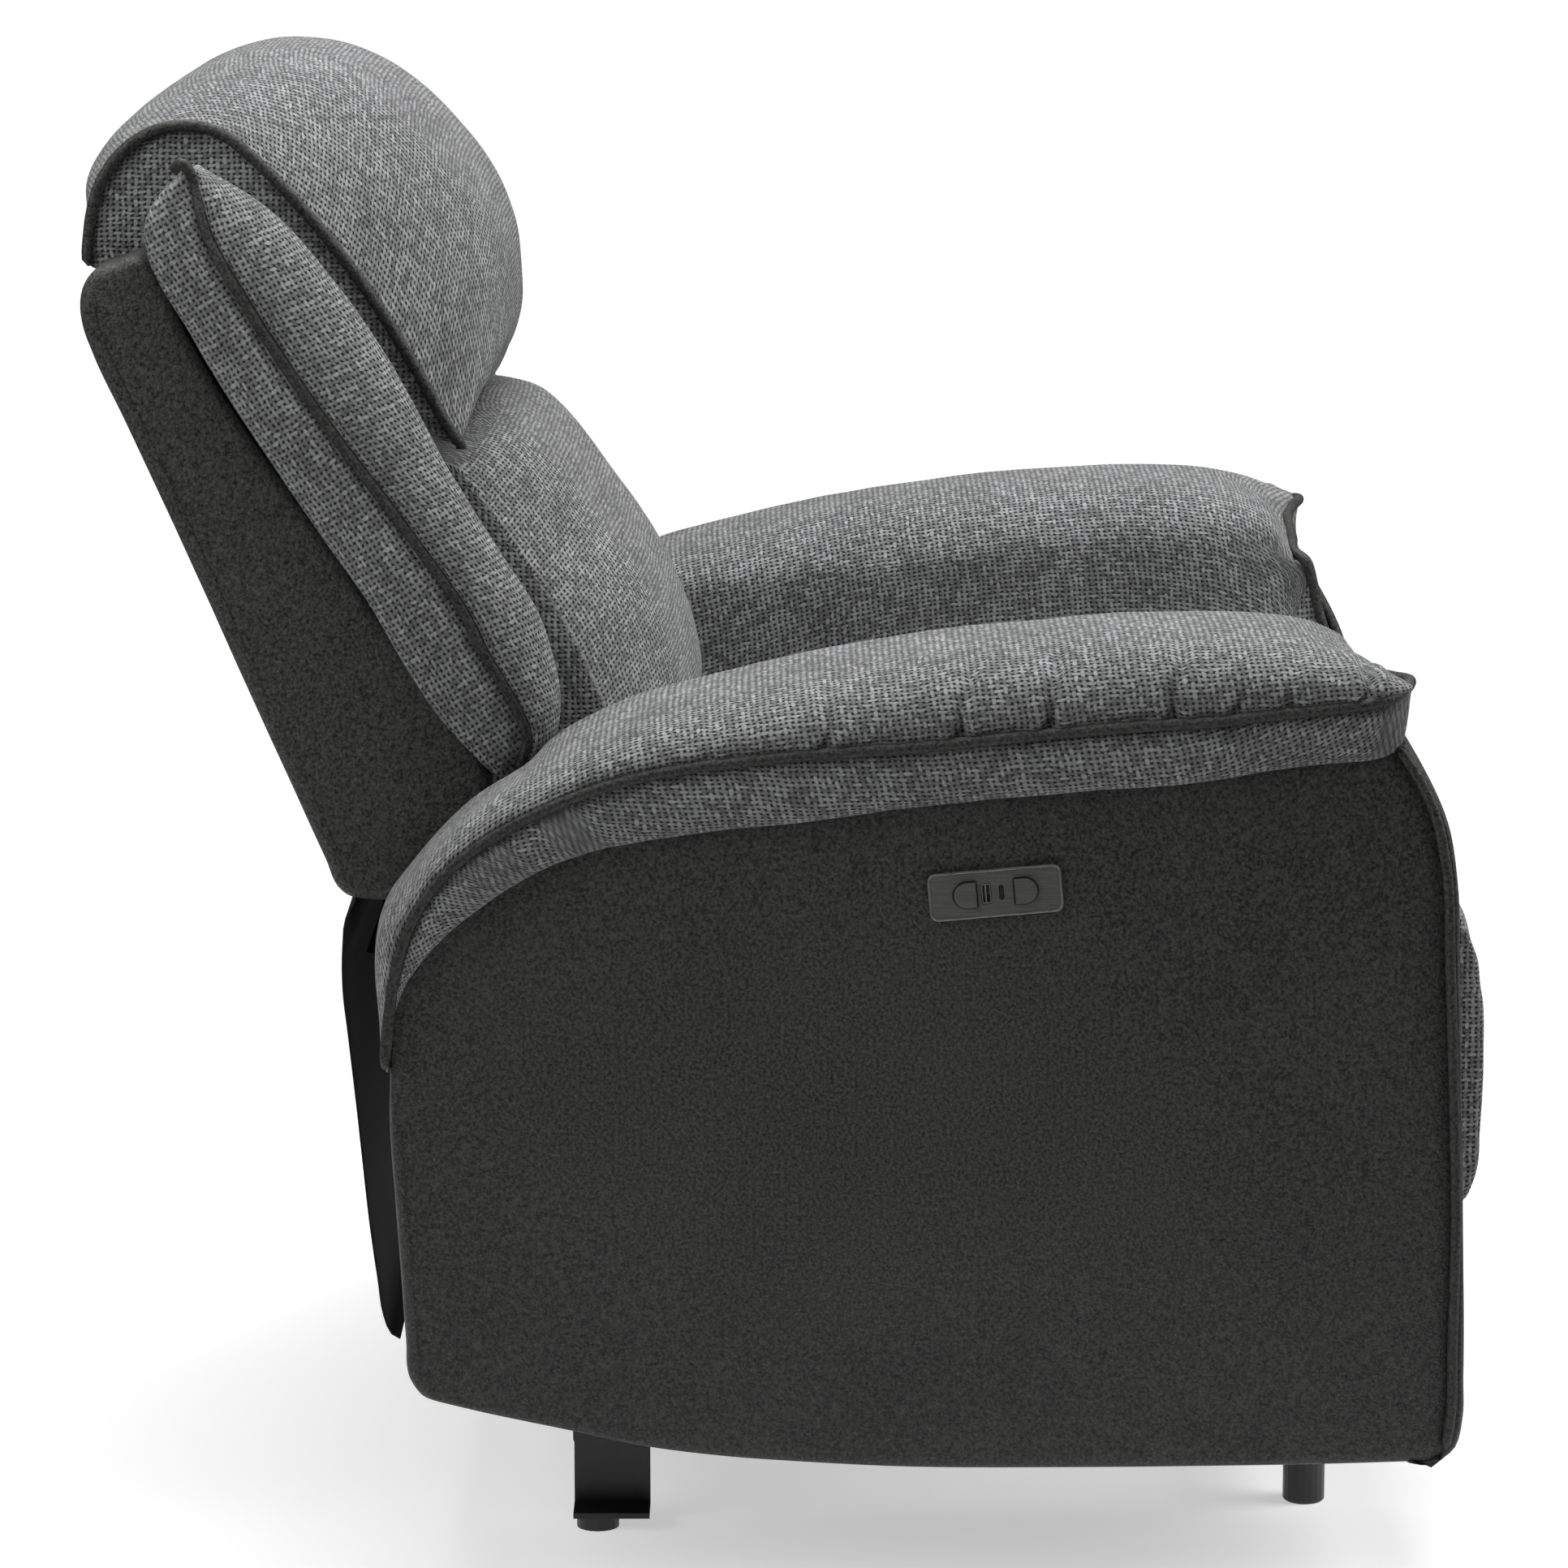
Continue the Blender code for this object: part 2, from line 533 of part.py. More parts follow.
def rounded_box(centre, size, radius, count=4):
    outline = []
    for corner, (sx, sy) in enumerate(((1, 1), (-1, 1), (-1, -1), (1, -1))):
        for i in range(count + 1):
            t = math.pi / 2 * (corner + i / count)
            outline.append((centre[0] + sx * (size[0] / 2 - radius) + radius * math.cos(t),
                            centre[1] + sy * (size[1] / 2 - radius) + radius * math.sin(t)))
    return outline


def button_outline(direction, margin=0.0):
    """A D shape, round on the side away from the middle of the plate."""
    width, height = BUTTON_SIZE[0] + 2 * margin, BUTTON_SIZE[1] + 2 * margin
    centre = direction * BUTTON_OFFSET
    flat = centre - direction * width / 2
    arc_centre = centre + direction * (width / 2 - height / 2)
    outline = [(flat, -height / 2), (flat, height / 2)]
    for i in range(11):
        t = math.pi / 2 - math.pi * i / 10
        outline.append((arc_centre + direction * height / 2 * math.cos(t), height / 2 * math.sin(t)))
    return outline if direction < 0 else outline[::-1]


def controls():
    face = ARM_OUTER_X + GAP
    usb = rounded_box((USB_OFFSET, 0), (USB_SIZE[0] + 0.0008, USB_SIZE[1] + 0.0008), 0.0006, 1)
    lens = rounded_box((LENS_OFFSET, 0), (0.0032, 0.0102), 0.0012, 2)
    control_piece("control_plate",
                  [rounded_box((0, 0), CONTROL_SIZE, 0.005), button_outline(-1, 0.0004), button_outline(1, 0.0004),
                   usb, lens], (face, face + CONTROL_THICKNESS), GUNMETAL)
    opening = control_piece("arm_control_opening", [rounded_box((0, 0), (0.072, 0.023), 0.003)],
                            (ARM_OUTER_X - 0.03, ARM_OUTER_X + 0.03), None, cutters)
    combine(bpy.data.objects["arm_cover_right"], opening, "DIFFERENCE")
    back, front = ARM_OUTER_X - 0.030, ARM_OUTER_X - 0.0002
    housing = control_piece("switch_housing", [rounded_box((0, 0), (0.070, 0.021), 0.0025)], (back, front),
                            BLACK_PLASTIC)
    for name, outline, depth in (("rear", button_outline(-1, 0.0004), 0.016), ("front", button_outline(1, 0.0004), 0.016),
                                 ("usb", usb, 0.013), ("lens", lens, 0.008)):
        pocket = control_piece(f"switch_pocket_{name}", [outline], (front - depth, front + 0.02), None, cutters)
        combine(housing, pocket, "DIFFERENCE")
    outside = face + CONTROL_THICKNESS
    for name, direction in (("close", -1), ("open", 1)):
        button = control_piece(f"button_{name}", [button_outline(direction)], (front - 0.011, outside + BUTTON_PROUD),
                               BLACK_PLASTIC)
        centre = (CONTROL_CENTRE[0] + direction * BUTTON_OFFSET * math.cos(CONTROL_TILT),
                  CONTROL_CENTRE[1] + direction * BUTTON_OFFSET * math.sin(CONTROL_TILT))
        axis = axis_at(f"axis_button_{name}", centre)
        axis.location.x = -outside
        bpy.context.view_layer.update()
        ride([button], axis)
    socket = control_piece("usb_socket", [rounded_box((USB_OFFSET, 0), USB_SIZE, 0.0004, 1)],
                           (front - 0.0122, outside - 0.0002), ZINC_STEEL)
    for name, offset, width in (("narrow", -0.00165, 0.0015), ("wide", 0.00125, 0.0023)):
        slot = control_piece(f"usb_slot_{name}", [rounded_box((USB_OFFSET + offset, 0), (width, 0.0120), 0.0002, 1)],
                             (front - 0.0110, outside + 0.01), None, cutters)
        combine(socket, slot, "DIFFERENCE")
    control_piece("indicator_lens", [rounded_box((LENS_OFFSET, 0), (0.0024, 0.0094), 0.0010, 2)],
                  (front - 0.0072, outside - 0.0002), BLACK_PLASTIC)


# Back
def back():
    axis = axis_at("axis_recline", RECLINE_PIVOT)
    parts = []
    shell = side_plate("back_shell", [SHELL_REAR + SHELL_FRONT], (-BACK_HALF_WIDTH, BACK_HALF_WIDTH), LEATHERETTE,
                       0.004)
    inside = [(-0.100, 0.440), (-0.294, 0.440), (-0.3135, 0.485), (-0.3675, 0.610), (-0.4215, 0.734),
              (-0.4715, 0.846), (-0.4755, 0.871), (-0.4700, 0.8850), (-0.4400, 0.8960), (-0.100, 0.700)]
    hollow = side_plate("back_hollow", [inside], (-BACK_HALF_WIDTH + LEATHER, BACK_HALF_WIDTH - LEATHER), None, 0,
                        False, cutters)
    combine(shell, hollow, "DIFFERENCE")
    parts.append(shell)

    # The plywood board leans with the back, and its outline is drawn on its own plane.
    foot, head = (-0.285, 0.480), (-0.4310, 0.8320)
    lean = math.atan2(foot[0] - head[0], head[1] - foot[1])
    length = math.dist(foot, head)
    board = [(-0.225, 0), (0.225, 0), (0.225, length), (-0.225, length)]
    mesh = outline_mesh("back_board", [board], 0.015, 0.002)
    place = Matrix.Translation(at(*foot)) @ Matrix.Rotation(-lean, 4, "X") @ Matrix(
        ((-1, 0, 0, 0), (0, 0, 1, 0), (0, 1, 0, 0), (0, 0, 0, 1)))
    parts.append(add("back_board", mesh, WOOD, place))

    for label, side in SIDES.items():
        bracket = side_plate(
            f"back_bracket_{label}",
            [[(-0.247, 0.345), (-0.223, 0.345), (-0.214, 0.372), (-0.240, 0.440), (-0.262, 0.500), (-0.305, 0.600),
              (-0.328, 0.590), (-0.288, 0.495), (-0.276, 0.455), (-0.252, 0.385)], hole(RECLINE_PIVOT)],
            mirrored((LAYER_1[0], LAYER_1[1]), side), ZINC_STEEL)
        parts.append(bracket)
        bolster = padded(f"bolster_{label}", BOLSTER_FRONT + BOLSTER_REAR, mirrored(BOLSTER_X, side), FABRIC, 0.014)
        parts.append(bolster)
    parts.append(padded("lumbar_cushion", LUMBAR, (-LUMBAR_HALF_WIDTH, LUMBAR_HALF_WIDTH), FABRIC, 0.020))
    parts.append(padded("head_pillow", HEAD_PILLOW, (-HEAD_PILLOW_HALF_WIDTH, HEAD_PILLOW_HALF_WIDTH), FABRIC, 0.022))
    ride(parts, axis)


def rear_skirt():
    """The dust cloth that hangs from the back's lower edge behind the seat frame."""
    route = [(-0.3000, 0.4535), (-0.3060, 0.429), (-0.3070, 0.394), (-0.2990, 0.319), (-0.2900, 0.225),
             (-0.2810, 0.157), (-0.2700, 0.142)]
    outer = [(f - 0.0015, h) for f, h in route]
    side_plate("rear_skirt", [outer + route[::-1]], (-0.330, 0.330), DUST_CLOTH)


# Footrest linkage: two crossed links on each side carry the footrest out and level
def link(name, side, layer, start, end, pinned=None, holes=()):
    obj = side_plate(name, [bar(start, end), *[hole(centre) for centre in holes]], mirrored(layer, side), ZINC_STEEL)
    for centre, inner, outer in pinned or ():
        pin(obj, centre, side, inner, outer)
    return obj


def footrest():
    elbow = reach(DRIVE_PIVOT, REAR_LINK_LENGTH, REAR_LINK_ANGLE)
    front_end = reach(FRONT_PIVOT, FRONT_LINK_LENGTH, FRONT_LINK_ANGLE)
    outer_end = reach(front_end, OUTER_LINK_LENGTH, OUTER_LINK_ANGLE)
    rear_axis = axis_at("axis_rear_link", DRIVE_PIVOT)
    long_axis = axis_at("axis_long_link", elbow, rear_axis)
    rest_axis = axis_at("axis_footrest", LONG_LINK_END, long_axis)
    front_axis = axis_at("axis_front_link", FRONT_PIVOT)
    outer_axis = axis_at("axis_outer_link", front_end, front_axis)
    for label, side in SIDES.items():
        rear_link = link(f"rear_link_{label}", side, LAYER_1, DRIVE_PIVOT, elbow,
                         [(elbow, LAYER_2[0] - 0.001, LAYER_1[1] - 0.0005)], [DRIVE_PIVOT])
        long_link = link(f"long_link_{label}", side, LAYER_2, elbow, LONG_LINK_END,
                         [(LONG_LINK_END, LAYER_3[0] - 0.001, LAYER_2[1] - 0.0005)], [elbow])
        front_link = link(f"front_link_{label}", side, LAYER_3, FRONT_PIVOT, front_end,
                          [(front_end, LAYER_4[0] - 0.001, LAYER_3[1] - 0.0005)], [FRONT_PIVOT])
        outer_link = link(f"outer_link_{label}", side, LAYER_4, front_end, outer_end, None, [front_end])
        bracket = side_plate(
            f"footrest_bracket_{label}",
            [[(0.352, 0.304), (0.380, 0.298), (0.4177, 0.246), (0.4177, 0.378), (0.388, 0.378), (0.372, 0.360),
              (0.368, 0.332), (0.352, 0.326)], hole(LONG_LINK_END)], mirrored(LAYER_3, side), ZINC_STEEL)
        pin(bracket, outer_end, side, LAYER_4[1] + GAP, LAYER_3[1] - 0.0005)
        ride([rear_link], rear_axis)
        ride([long_link], long_axis)
        ride([front_link], front_axis)
        ride([outer_link], outer_axis)
        ride([bracket], rest_axis)
    span = LAYER_1[0] - GAP
    tube = rod("drive_tube", at(*DRIVE_PIVOT, -span), at(*DRIVE_PIVOT, span), 0.0095, BLACK_STEEL)
    tip = reach(DRIVE_PIVOT, CRANK_LENGTH, CRANK_ANGLE)
    crank = side_plate("drive_crank_arm", [bar(DRIVE_PIVOT, tip, 0.009)], (-0.004, 0.004), None, 0, False, cutters)
    combine(tube, crank, "UNION")
    ride([tube, crank], rear_axis)
    board = box("footrest_board", (-0.262, 0.262), FOOTREST_BOARD_FORWARD, FOOTREST_BOARD_HEIGHT, WOOD, 0.002)
    pad = padded("footrest_pad", FOOTREST_PAD, (-SEAT_HALF_WIDTH, SEAT_HALF_WIDTH), FABRIC, 0.012)
    ride([board, pad], rest_axis)


# The actuator hangs from the rear cross tube, and its carriage turns the drive tube's crank.
def actuator():
    low, high = TRACK_HEIGHT
    box("actuator_motor", (-0.042, 0.042), (-0.0925, 0.0245), (0.196, 0.282), BLACK_PLASTIC, 0.006)
    box("actuator_track", (-TRACK_HALF_WIDTH, TRACK_HALF_WIDTH), (0.0250, 0.365), (low, high), GUNMETAL, 0.001)
    middle = (low + high) / 2
    body = [(-0.022, middle - 0.018), (0.022, middle - 0.018), (0.022, middle + 0.018), (-0.022, middle + 0.018)]
    bore = [(-0.0128, low - 0.0008), (0.0128, low - 0.0008), (0.0128, high + 0.0008), (-0.0128, high + 0.0008)]
    mesh = outline_mesh("actuator_carriage", [body, bore], 0.036, 0.0015)
    carriage = add("actuator_carriage", mesh, BLACK_PLASTIC, Matrix.Translation(at(CARRIAGE_START, 0)) @ FRONT_VIEW)
    ride([carriage], axis_at("axis_carriage", (CARRIAGE_START, middle)))
    inlet = box("power_inlet", (0.100, 0.128), (-0.150, -0.1165), (0.226, 0.250), BLACK_PLASTIC, 0.002)
    well = rod("power_inlet_well", at(-0.170, 0.238, 0.114), at(-0.132, 0.238, 0.114), 0.0065, None, 16, cutters)
    combine(inlet, well, "DIFFERENCE")


floor_frame()
seat_frame()
for label, side in SIDES.items():
    arm(side, label)
controls()
back()
rear_skirt()
footrest()
actuator()
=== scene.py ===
# Power recliner armchair: the soft goods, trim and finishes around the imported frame.
# Side outlines are (forward, height) pairs in metres; forward is -Y and the sitter's right is -X.
import math

import bmesh
import bpy
import numpy as np
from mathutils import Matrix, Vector, noise


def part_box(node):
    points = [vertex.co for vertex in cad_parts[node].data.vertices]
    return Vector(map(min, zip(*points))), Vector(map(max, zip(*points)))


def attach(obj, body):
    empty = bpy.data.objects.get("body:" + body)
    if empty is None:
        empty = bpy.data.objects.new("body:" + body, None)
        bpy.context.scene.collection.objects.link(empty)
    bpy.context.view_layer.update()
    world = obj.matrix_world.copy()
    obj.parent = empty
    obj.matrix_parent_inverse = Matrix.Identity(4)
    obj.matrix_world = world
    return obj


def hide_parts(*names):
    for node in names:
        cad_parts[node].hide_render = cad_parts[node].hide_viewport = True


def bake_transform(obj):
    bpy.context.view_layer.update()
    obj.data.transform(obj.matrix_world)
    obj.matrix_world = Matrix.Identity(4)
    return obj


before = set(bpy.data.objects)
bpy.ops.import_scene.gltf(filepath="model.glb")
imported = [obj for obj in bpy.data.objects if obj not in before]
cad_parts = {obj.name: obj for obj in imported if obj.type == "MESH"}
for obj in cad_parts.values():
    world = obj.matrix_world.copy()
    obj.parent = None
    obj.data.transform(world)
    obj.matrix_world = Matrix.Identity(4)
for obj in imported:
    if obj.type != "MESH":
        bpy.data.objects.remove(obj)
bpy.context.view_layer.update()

scene = bpy.context.scene
sides = {"right": -1, "left": 1}


# A smooth curve through the points, resampled to even steps
def smoothLine(points, count, closed=False, bias=None):
    p = np.array(points, float)
    n = len(p)
    if closed:
        p = np.vstack([p[-2:], p, p[:3]])
    chord = np.maximum(np.linalg.norm(np.diff(p, axis=0), axis=1), 1e-9)
    slope = np.diff(p, axis=0) / chord[:, None]
    tangent = np.empty_like(p)
    tangent[1:-1] = (slope[:-1] * chord[1:, None] + slope[1:] * chord[:-1, None]) / (chord[1:] + chord[:-1])[:, None]
    tangent[0], tangent[-1] = slope[0], slope[-1]
    first, last = (2, 2 + n) if closed else (0, n - 1)
    fine = []
    t = np.linspace(0, 1, 24, endpoint=False)[:, None]
    for i in range(first, last):
        h = chord[i]
        fine.append((2 * t**3 - 3 * t**2 + 1) * p[i] + (t**3 - 2 * t**2 + t) * h * tangent[i]
                    + (3 * t**2 - 2 * t**3) * p[i + 1] + (t**3 - t**2) * h * tangent[i + 1])
    fine.append(p[last:last + 1])
    fine = np.vstack(fine)
    run = np.concatenate([[0], np.cumsum(np.linalg.norm(np.diff(fine, axis=0), axis=1))])
    share = np.linspace(0, 1, count + (1 if closed else 0)) if bias is None else bias
    wanted = share * run[-1]
    made = np.stack([np.interp(wanted, run, fine[:, k]) for k in range(p.shape[1])], axis=1)
    return made[:-1] if closed else made


def lengthOf(line):
    return float(np.linalg.norm(np.diff(np.array(line, float), axis=0), axis=1).sum())


# Steps from 0 to 1 that crowd together at the ends named
def crowded(count, low=True, high=True, power=1.7):
    t = np.linspace(0, 1, count)
    if low and high:
        return np.where(t < 0.5, 0.5 * (2 * t) ** power, 1 - 0.5 * (2 - 2 * t) ** power)
    return t**power if low else 1 - (1 - t) ** power


def newObject(name, mesh, material=None):
    obj = bpy.data.objects.new(name, mesh)
    scene.collection.objects.link(obj)
    if material is not None:
        mesh.materials.clear()
        mesh.materials.append(material)
    return obj


# Closed rings skinned one to the next. Each end closes with a low dome of rings of its own.
# The weave's map runs along the piece from its middle ring and round each ring, and lies flat on the ends.
def skin(name, rings, anchor, flat, domes=(0.004, 0.004), domeSteps=9, flatEnds=False, plane=None):
    rings = np.array(rings, float)
    count, around = rings.shape[:2]
    points = list(rings.reshape(-1, 3))
    faces, maps = [], []
    along = np.concatenate([np.zeros((1, around)), np.cumsum(np.linalg.norm(np.diff(rings, axis=0), axis=2), axis=0)])
    along -= along[count // 2][None]
    along = np.concatenate([along, along[:, :1]], axis=1)
    step = np.linalg.norm(np.diff(np.concatenate([rings, rings[:, :1]], axis=1), axis=1), axis=2)
    girth = np.concatenate([np.zeros((count, 1)), np.cumsum(step, axis=1)], axis=1)
    girth -= girth[:, anchor][:, None]
    for i in range(count - 1):
        for j in range(around):
            k = (j + 1) % around
            faces.append((i * around + j, i * around + k, (i + 1) * around + k, (i + 1) * around + j))
            maps += [(along[i, j], girth[i, j]), (along[i, j + 1], girth[i, j + 1]),
                     (along[i + 1, j + 1], girth[i + 1, j + 1]), (along[i + 1, j], girth[i + 1, j])]
    if plane is not None:  # these columns lie flat on their own plane instead
        first, axes = plane[0], np.stack([np.array(a, float) for a in plane[1:]], axis=1)
        n = 0
        for i in range(count - 1):
            for j in range(around):
                if j >= first:
                    for c, m in enumerate(faces[i * around + j]):
                        maps[n + c] = tuple(points[m] @ axes)
                n += 4
    u, v = flat
    for end, dome in ((0, domes[0]), (count - 1, domes[1])):
        ring = rings[end]
        middle = ring.mean(axis=0)
        outward = middle - rings[1 if end == 0 else count - 2].mean(axis=0)
        outward /= max(np.linalg.norm(outward), 1e-9)
        previous = [end * around + j for j in range(around)]
        if flatEnds:
            faces.append(tuple(previous))
            continue
        for s in range(1, domeSteps):
            size = 1 - s / domeSteps
            base = len(points)
            points += list(middle + (ring - middle) * size + outward * dome * (1 - size**2) ** 0.55)
            row = [base + j for j in range(around)]
            for j in range(around):
                k = (j + 1) % around
                faces.append((previous[j], row[j], row[k], previous[k]))
            previous = row
        points.append(middle + outward * dome)
        centre = len(points) - 1
        for j in range(around):
            faces.append((previous[j], centre, previous[(j + 1) % around]))
    mesh = bpy.data.meshes.new(name)
    mesh.from_pydata([tuple(p) for p in points], [], faces)
    layer = mesh.uv_layers.new(name="weave")
    values = np.zeros((len(mesh.loops), 2))
    values[:len(maps)] = maps
    index = np.empty(len(mesh.loops), int)
    mesh.loops.foreach_get("vertex_index", index)
    everyPoint = np.array(points)
    values[len(maps):] = everyPoint[index[len(maps):]] @ np.stack([np.array(u, float), np.array(v, float)], axis=1)
    layer.data.foreach_set("uv", values.astype(np.float32).ravel())
    turnOut(mesh)
    mesh.shade_smooth()
    return mesh


def turnOut(mesh):
    work = bmesh.new()
    work.from_mesh(mesh)
    bmesh.ops.recalc_face_normals(work, faces=work.faces)
    if work.calc_volume(signed=True) < 0:
        bmesh.ops.reverse_faces(work, faces=work.faces)
    work.to_mesh(mesh)
    work.free()


# A patch that fills four edge lines
def patchBetween(bottom, top, rear, front, u, v):
    a, b = u[None, :, None], v[:, None, None]
    return ((1 - b) * bottom[None] + b * top[None] + (1 - a) * rear[:, None] + a * front[:, None]
            - (1 - a) * (1 - b) * bottom[0] - a * (1 - b) * bottom[-1] - (1 - a) * b * top[0] - a * b * top[-1])


# A grid of points as a sheet, given its thickness afterwards
def gridMesh(name, grid):
    grid = np.array(grid, float)
    rows, columns = grid.shape[:2]
    along = np.concatenate([np.zeros((1, columns)), np.cumsum(np.linalg.norm(np.diff(grid, axis=0), axis=2), axis=0)])
    across = np.concatenate([np.zeros((rows, 1)), np.cumsum(np.linalg.norm(np.diff(grid, axis=1), axis=2), axis=1)],
                            axis=1)
    faces, maps = [], []
    for i in range(rows - 1):
        for j in range(columns - 1):
            corners = ((i, j), (i, j + 1), (i + 1, j + 1), (i + 1, j))
            faces.append([a * columns + b for a, b in corners])
            maps += [(along[a, b], across[a, b]) for a, b in corners]
    mesh = bpy.data.meshes.new(name)
    mesh.from_pydata([tuple(p) for p in grid.reshape(-1, 3)], [], faces)
    mesh.uv_layers.new(name="weave").data.foreach_set("uv", np.array(maps, np.float32).ravel())
    mesh.shade_smooth()
    return mesh


def applied(obj):
    bpy.context.view_layer.update()
    graph = bpy.context.evaluated_depsgraph_get()
    mesh = bpy.data.meshes.new_from_object(obj.evaluated_get(graph), preserve_all_data_layers=True, depsgraph=graph)
    old = obj.data
    obj.modifiers.clear()
    obj.data = mesh
    mesh.name = obj.name
    if old.users == 0:
        bpy.data.meshes.remove(old)
    return obj


def withWall(obj, thickness):
    wall = obj.modifiers.new("wall", "SOLIDIFY")
    wall.thickness = thickness
    wall.offset = -1.0
    wall.use_even_offset = False
    return applied(obj)


def subdivided(obj):
    finer = obj.modifiers.new("finer", "SUBSURF")
    finer.levels = finer.render_levels = 1
    return applied(obj)


def meshPoints(mesh):
    values = np.empty(len(mesh.vertices) * 3)
    mesh.vertices.foreach_get("co", values)
    return values.reshape(-1, 3)


def setPoints(mesh, values):
    mesh.vertices.foreach_set("co", np.asarray(values, np.float32).ravel())
    mesh.update()


def meshNormals(mesh):
    values = np.empty(len(mesh.vertices) * 3)
    mesh.vertex_normals.foreach_get("vector", values)
    return values.reshape(-1, 3)


# Small swells and slack across a surface
def ruffled(obj, depth, size, seed):
    points, normals = meshPoints(obj.data), meshNormals(obj.data)
    scale = 1 / size
    lift = np.array([noise.noise(Vector(p * scale) + Vector((seed, seed * 1.7, 3.1)))
                     + 0.4 * noise.noise(Vector(p * scale * 2.3) + Vector((seed, 9.2, seed))) for p in points])
    setPoints(obj.data, points + normals * (lift * depth)[:, None])
    return obj


# The slack that a piece's dictionary asks for: depth, size and seed
def slackened(obj, d, side=0):
    depth, size, seed = d["slack"]
    ruffled(obj, depth, size, seed + side)


# A round cord cover sewn along a line of points
def piping(name, points, radius, material, closed=False, taper=0.0):
    line = np.array(points, float)
    count, sectors = len(line), 12
    tangent = np.gradient(line, axis=0)
    if closed:
        tangent = (np.roll(line, -1, axis=0) - np.roll(line, 1, axis=0))
    tangent /= np.linalg.norm(tangent, axis=1)[:, None]
    side = Vector(tangent[0]).orthogonal().normalized()
    rings, frames = [], []
    for i in range(count):
        t = Vector(tangent[i])
        side = (side - t * side.dot(t)).normalized()
        frames.append((side.copy(), t.cross(side)))
    twist = 0.0
    if closed:
        t = Vector(tangent[0])
        back = (side - t * side.dot(t)).normalized()
        twist = math.atan2(back.cross(frames[0][0]).dot(t), back.dot(frames[0][0]))
    for i in range(count):
        r = radius
        if taper and not closed:
            r = radius * min(1.0, 0.25 + 0.75 * math.sqrt(min(i, count - 1 - i) / (taper * count)))
        turns = np.linspace(0, 2 * math.pi, sectors, endpoint=False) + twist * i / count
        rings.append([tuple(Vector(line[i]) + r * (math.cos(a) * frames[i][0] + math.sin(a) * frames[i][1]))
                      for a in turns])
    points = [p for ring in rings for p in ring]
    faces = []
    for i in range(count if closed else count - 1):
        for j in range(sectors):
            k, m = (j + 1) % sectors, (i + 1) % count
            faces.append((i * sectors + j, i * sectors + k, m * sectors + k, m * sectors + j))
    if not closed:
        faces += [tuple(range(sectors)), tuple((count - 1) * sectors + j for j in reversed(range(sectors)))]
    mesh = bpy.data.meshes.new(name)
    mesh.from_pydata(points, [], faces)
    turnOut(mesh)
    mesh.shade_smooth()
    return newObject(name, mesh, material)


clothPieces = []
clothFrames = 16
clothFabric = {"quality": 4, "mass": 0.25, "tension_stiffness": 18, "compression_stiffness": 12,
               "shear_stiffness": 6, "bending_stiffness": 1.2, "air_damping": 3, "vertex_group_mass": "sewn"}


# Marks a cushion to be blown up against its sewn lines; all of them are simulated together
def inflate(obj, pinned, pressure, cap):
    group = obj.vertex_groups.new(name="sewn")
    group.add([int(i) for i in pinned], 1.0, "REPLACE")
    clothPieces.append((obj, meshPoints(obj.data), pressure, cap))


def runCloth():
    for obj, start, pressure, cap in clothPieces:
        cloth = obj.modifiers.new("cloth", "CLOTH")
        for key, value in clothFabric.items():
            setattr(cloth.settings, key, value)
        cloth.settings.use_pressure = True
        cloth.settings.uniform_pressure_force = pressure
        cloth.settings.effector_weights.gravity = 0
        cloth.collision_settings.use_collision = False
        cloth.point_cache.frame_start = 1
        cloth.point_cache.frame_end = clothFrames
    scene.frame_start, scene.frame_end = 1, clothFrames
    for number in range(1, clothFrames + 1):
        scene.frame_set(number)
    graph = bpy.context.evaluated_depsgraph_get()
    for obj, start, pressure, cap in clothPieces:
        result = meshPoints(obj.evaluated_get(graph).data)
        obj.modifiers.clear()
        move = result - start
        far = np.linalg.norm(move, axis=1)
        limit = cap * np.tanh(far / cap)
        setPoints(obj.data, start + move * (limit / np.maximum(far, 1e-9))[:, None])
    scene.frame_set(1)
    print("cloth done,", len(clothPieces), "pieces")


# Materials
def startMaterial(name):
    material = bpy.data.materials.new(name)
    material.use_nodes = True
    return material, material.node_tree, material.node_tree.nodes["Principled BSDF"]


def put(tree, kind, links=None, **settings):
    made = tree.nodes.new(kind)
    for key, value in settings.items():
        setattr(made, key, value)
    for key, value in (links or {}).items():
        if isinstance(value, bpy.types.NodeSocket):
            tree.links.new(value, made.inputs[key])
        else:
            made.inputs[key].default_value = value
    return made


def calc(tree, operation, *values):
    return put(tree, "ShaderNodeMath", dict(enumerate(values)), operation=operation).outputs[0]


def blendValue(tree, share, a, b):
    return put(tree, "ShaderNodeMix", {0: share, 2: a, 3: b}).outputs[0]


def ramp(tree, value, stops):
    made = put(tree, "ShaderNodeValToRGB", {0: value})
    band = made.color_ramp
    while len(band.elements) < len(stops):
        band.elements.new(0.5)
    for element, (place, colour) in zip(band.elements, stops):
        element.position = place
        element.color = (*colour, 1.0)
    return made.outputs[0]


def noiseOn(tree, vector, scale, detail=2.0, roughness=0.5):
    return put(tree, "ShaderNodeTexNoise", {"Vector": vector, "Scale": scale, "Detail": detail,
                                            "Roughness": roughness})


def bumpInto(tree, shader, height, distance, strength=1.0):
    bump = put(tree, "ShaderNodeBump", {"Height": height, "Distance": distance, "Strength": strength})
    tree.links.new(bump.outputs[0], shader.inputs["Normal"])


def tinted(tree, base, value):
    return put(tree, "ShaderNodeMix", {0: 1.0, 6: base, 7: value}, data_type="RGBA", blend_type="MULTIPLY").outputs[2]


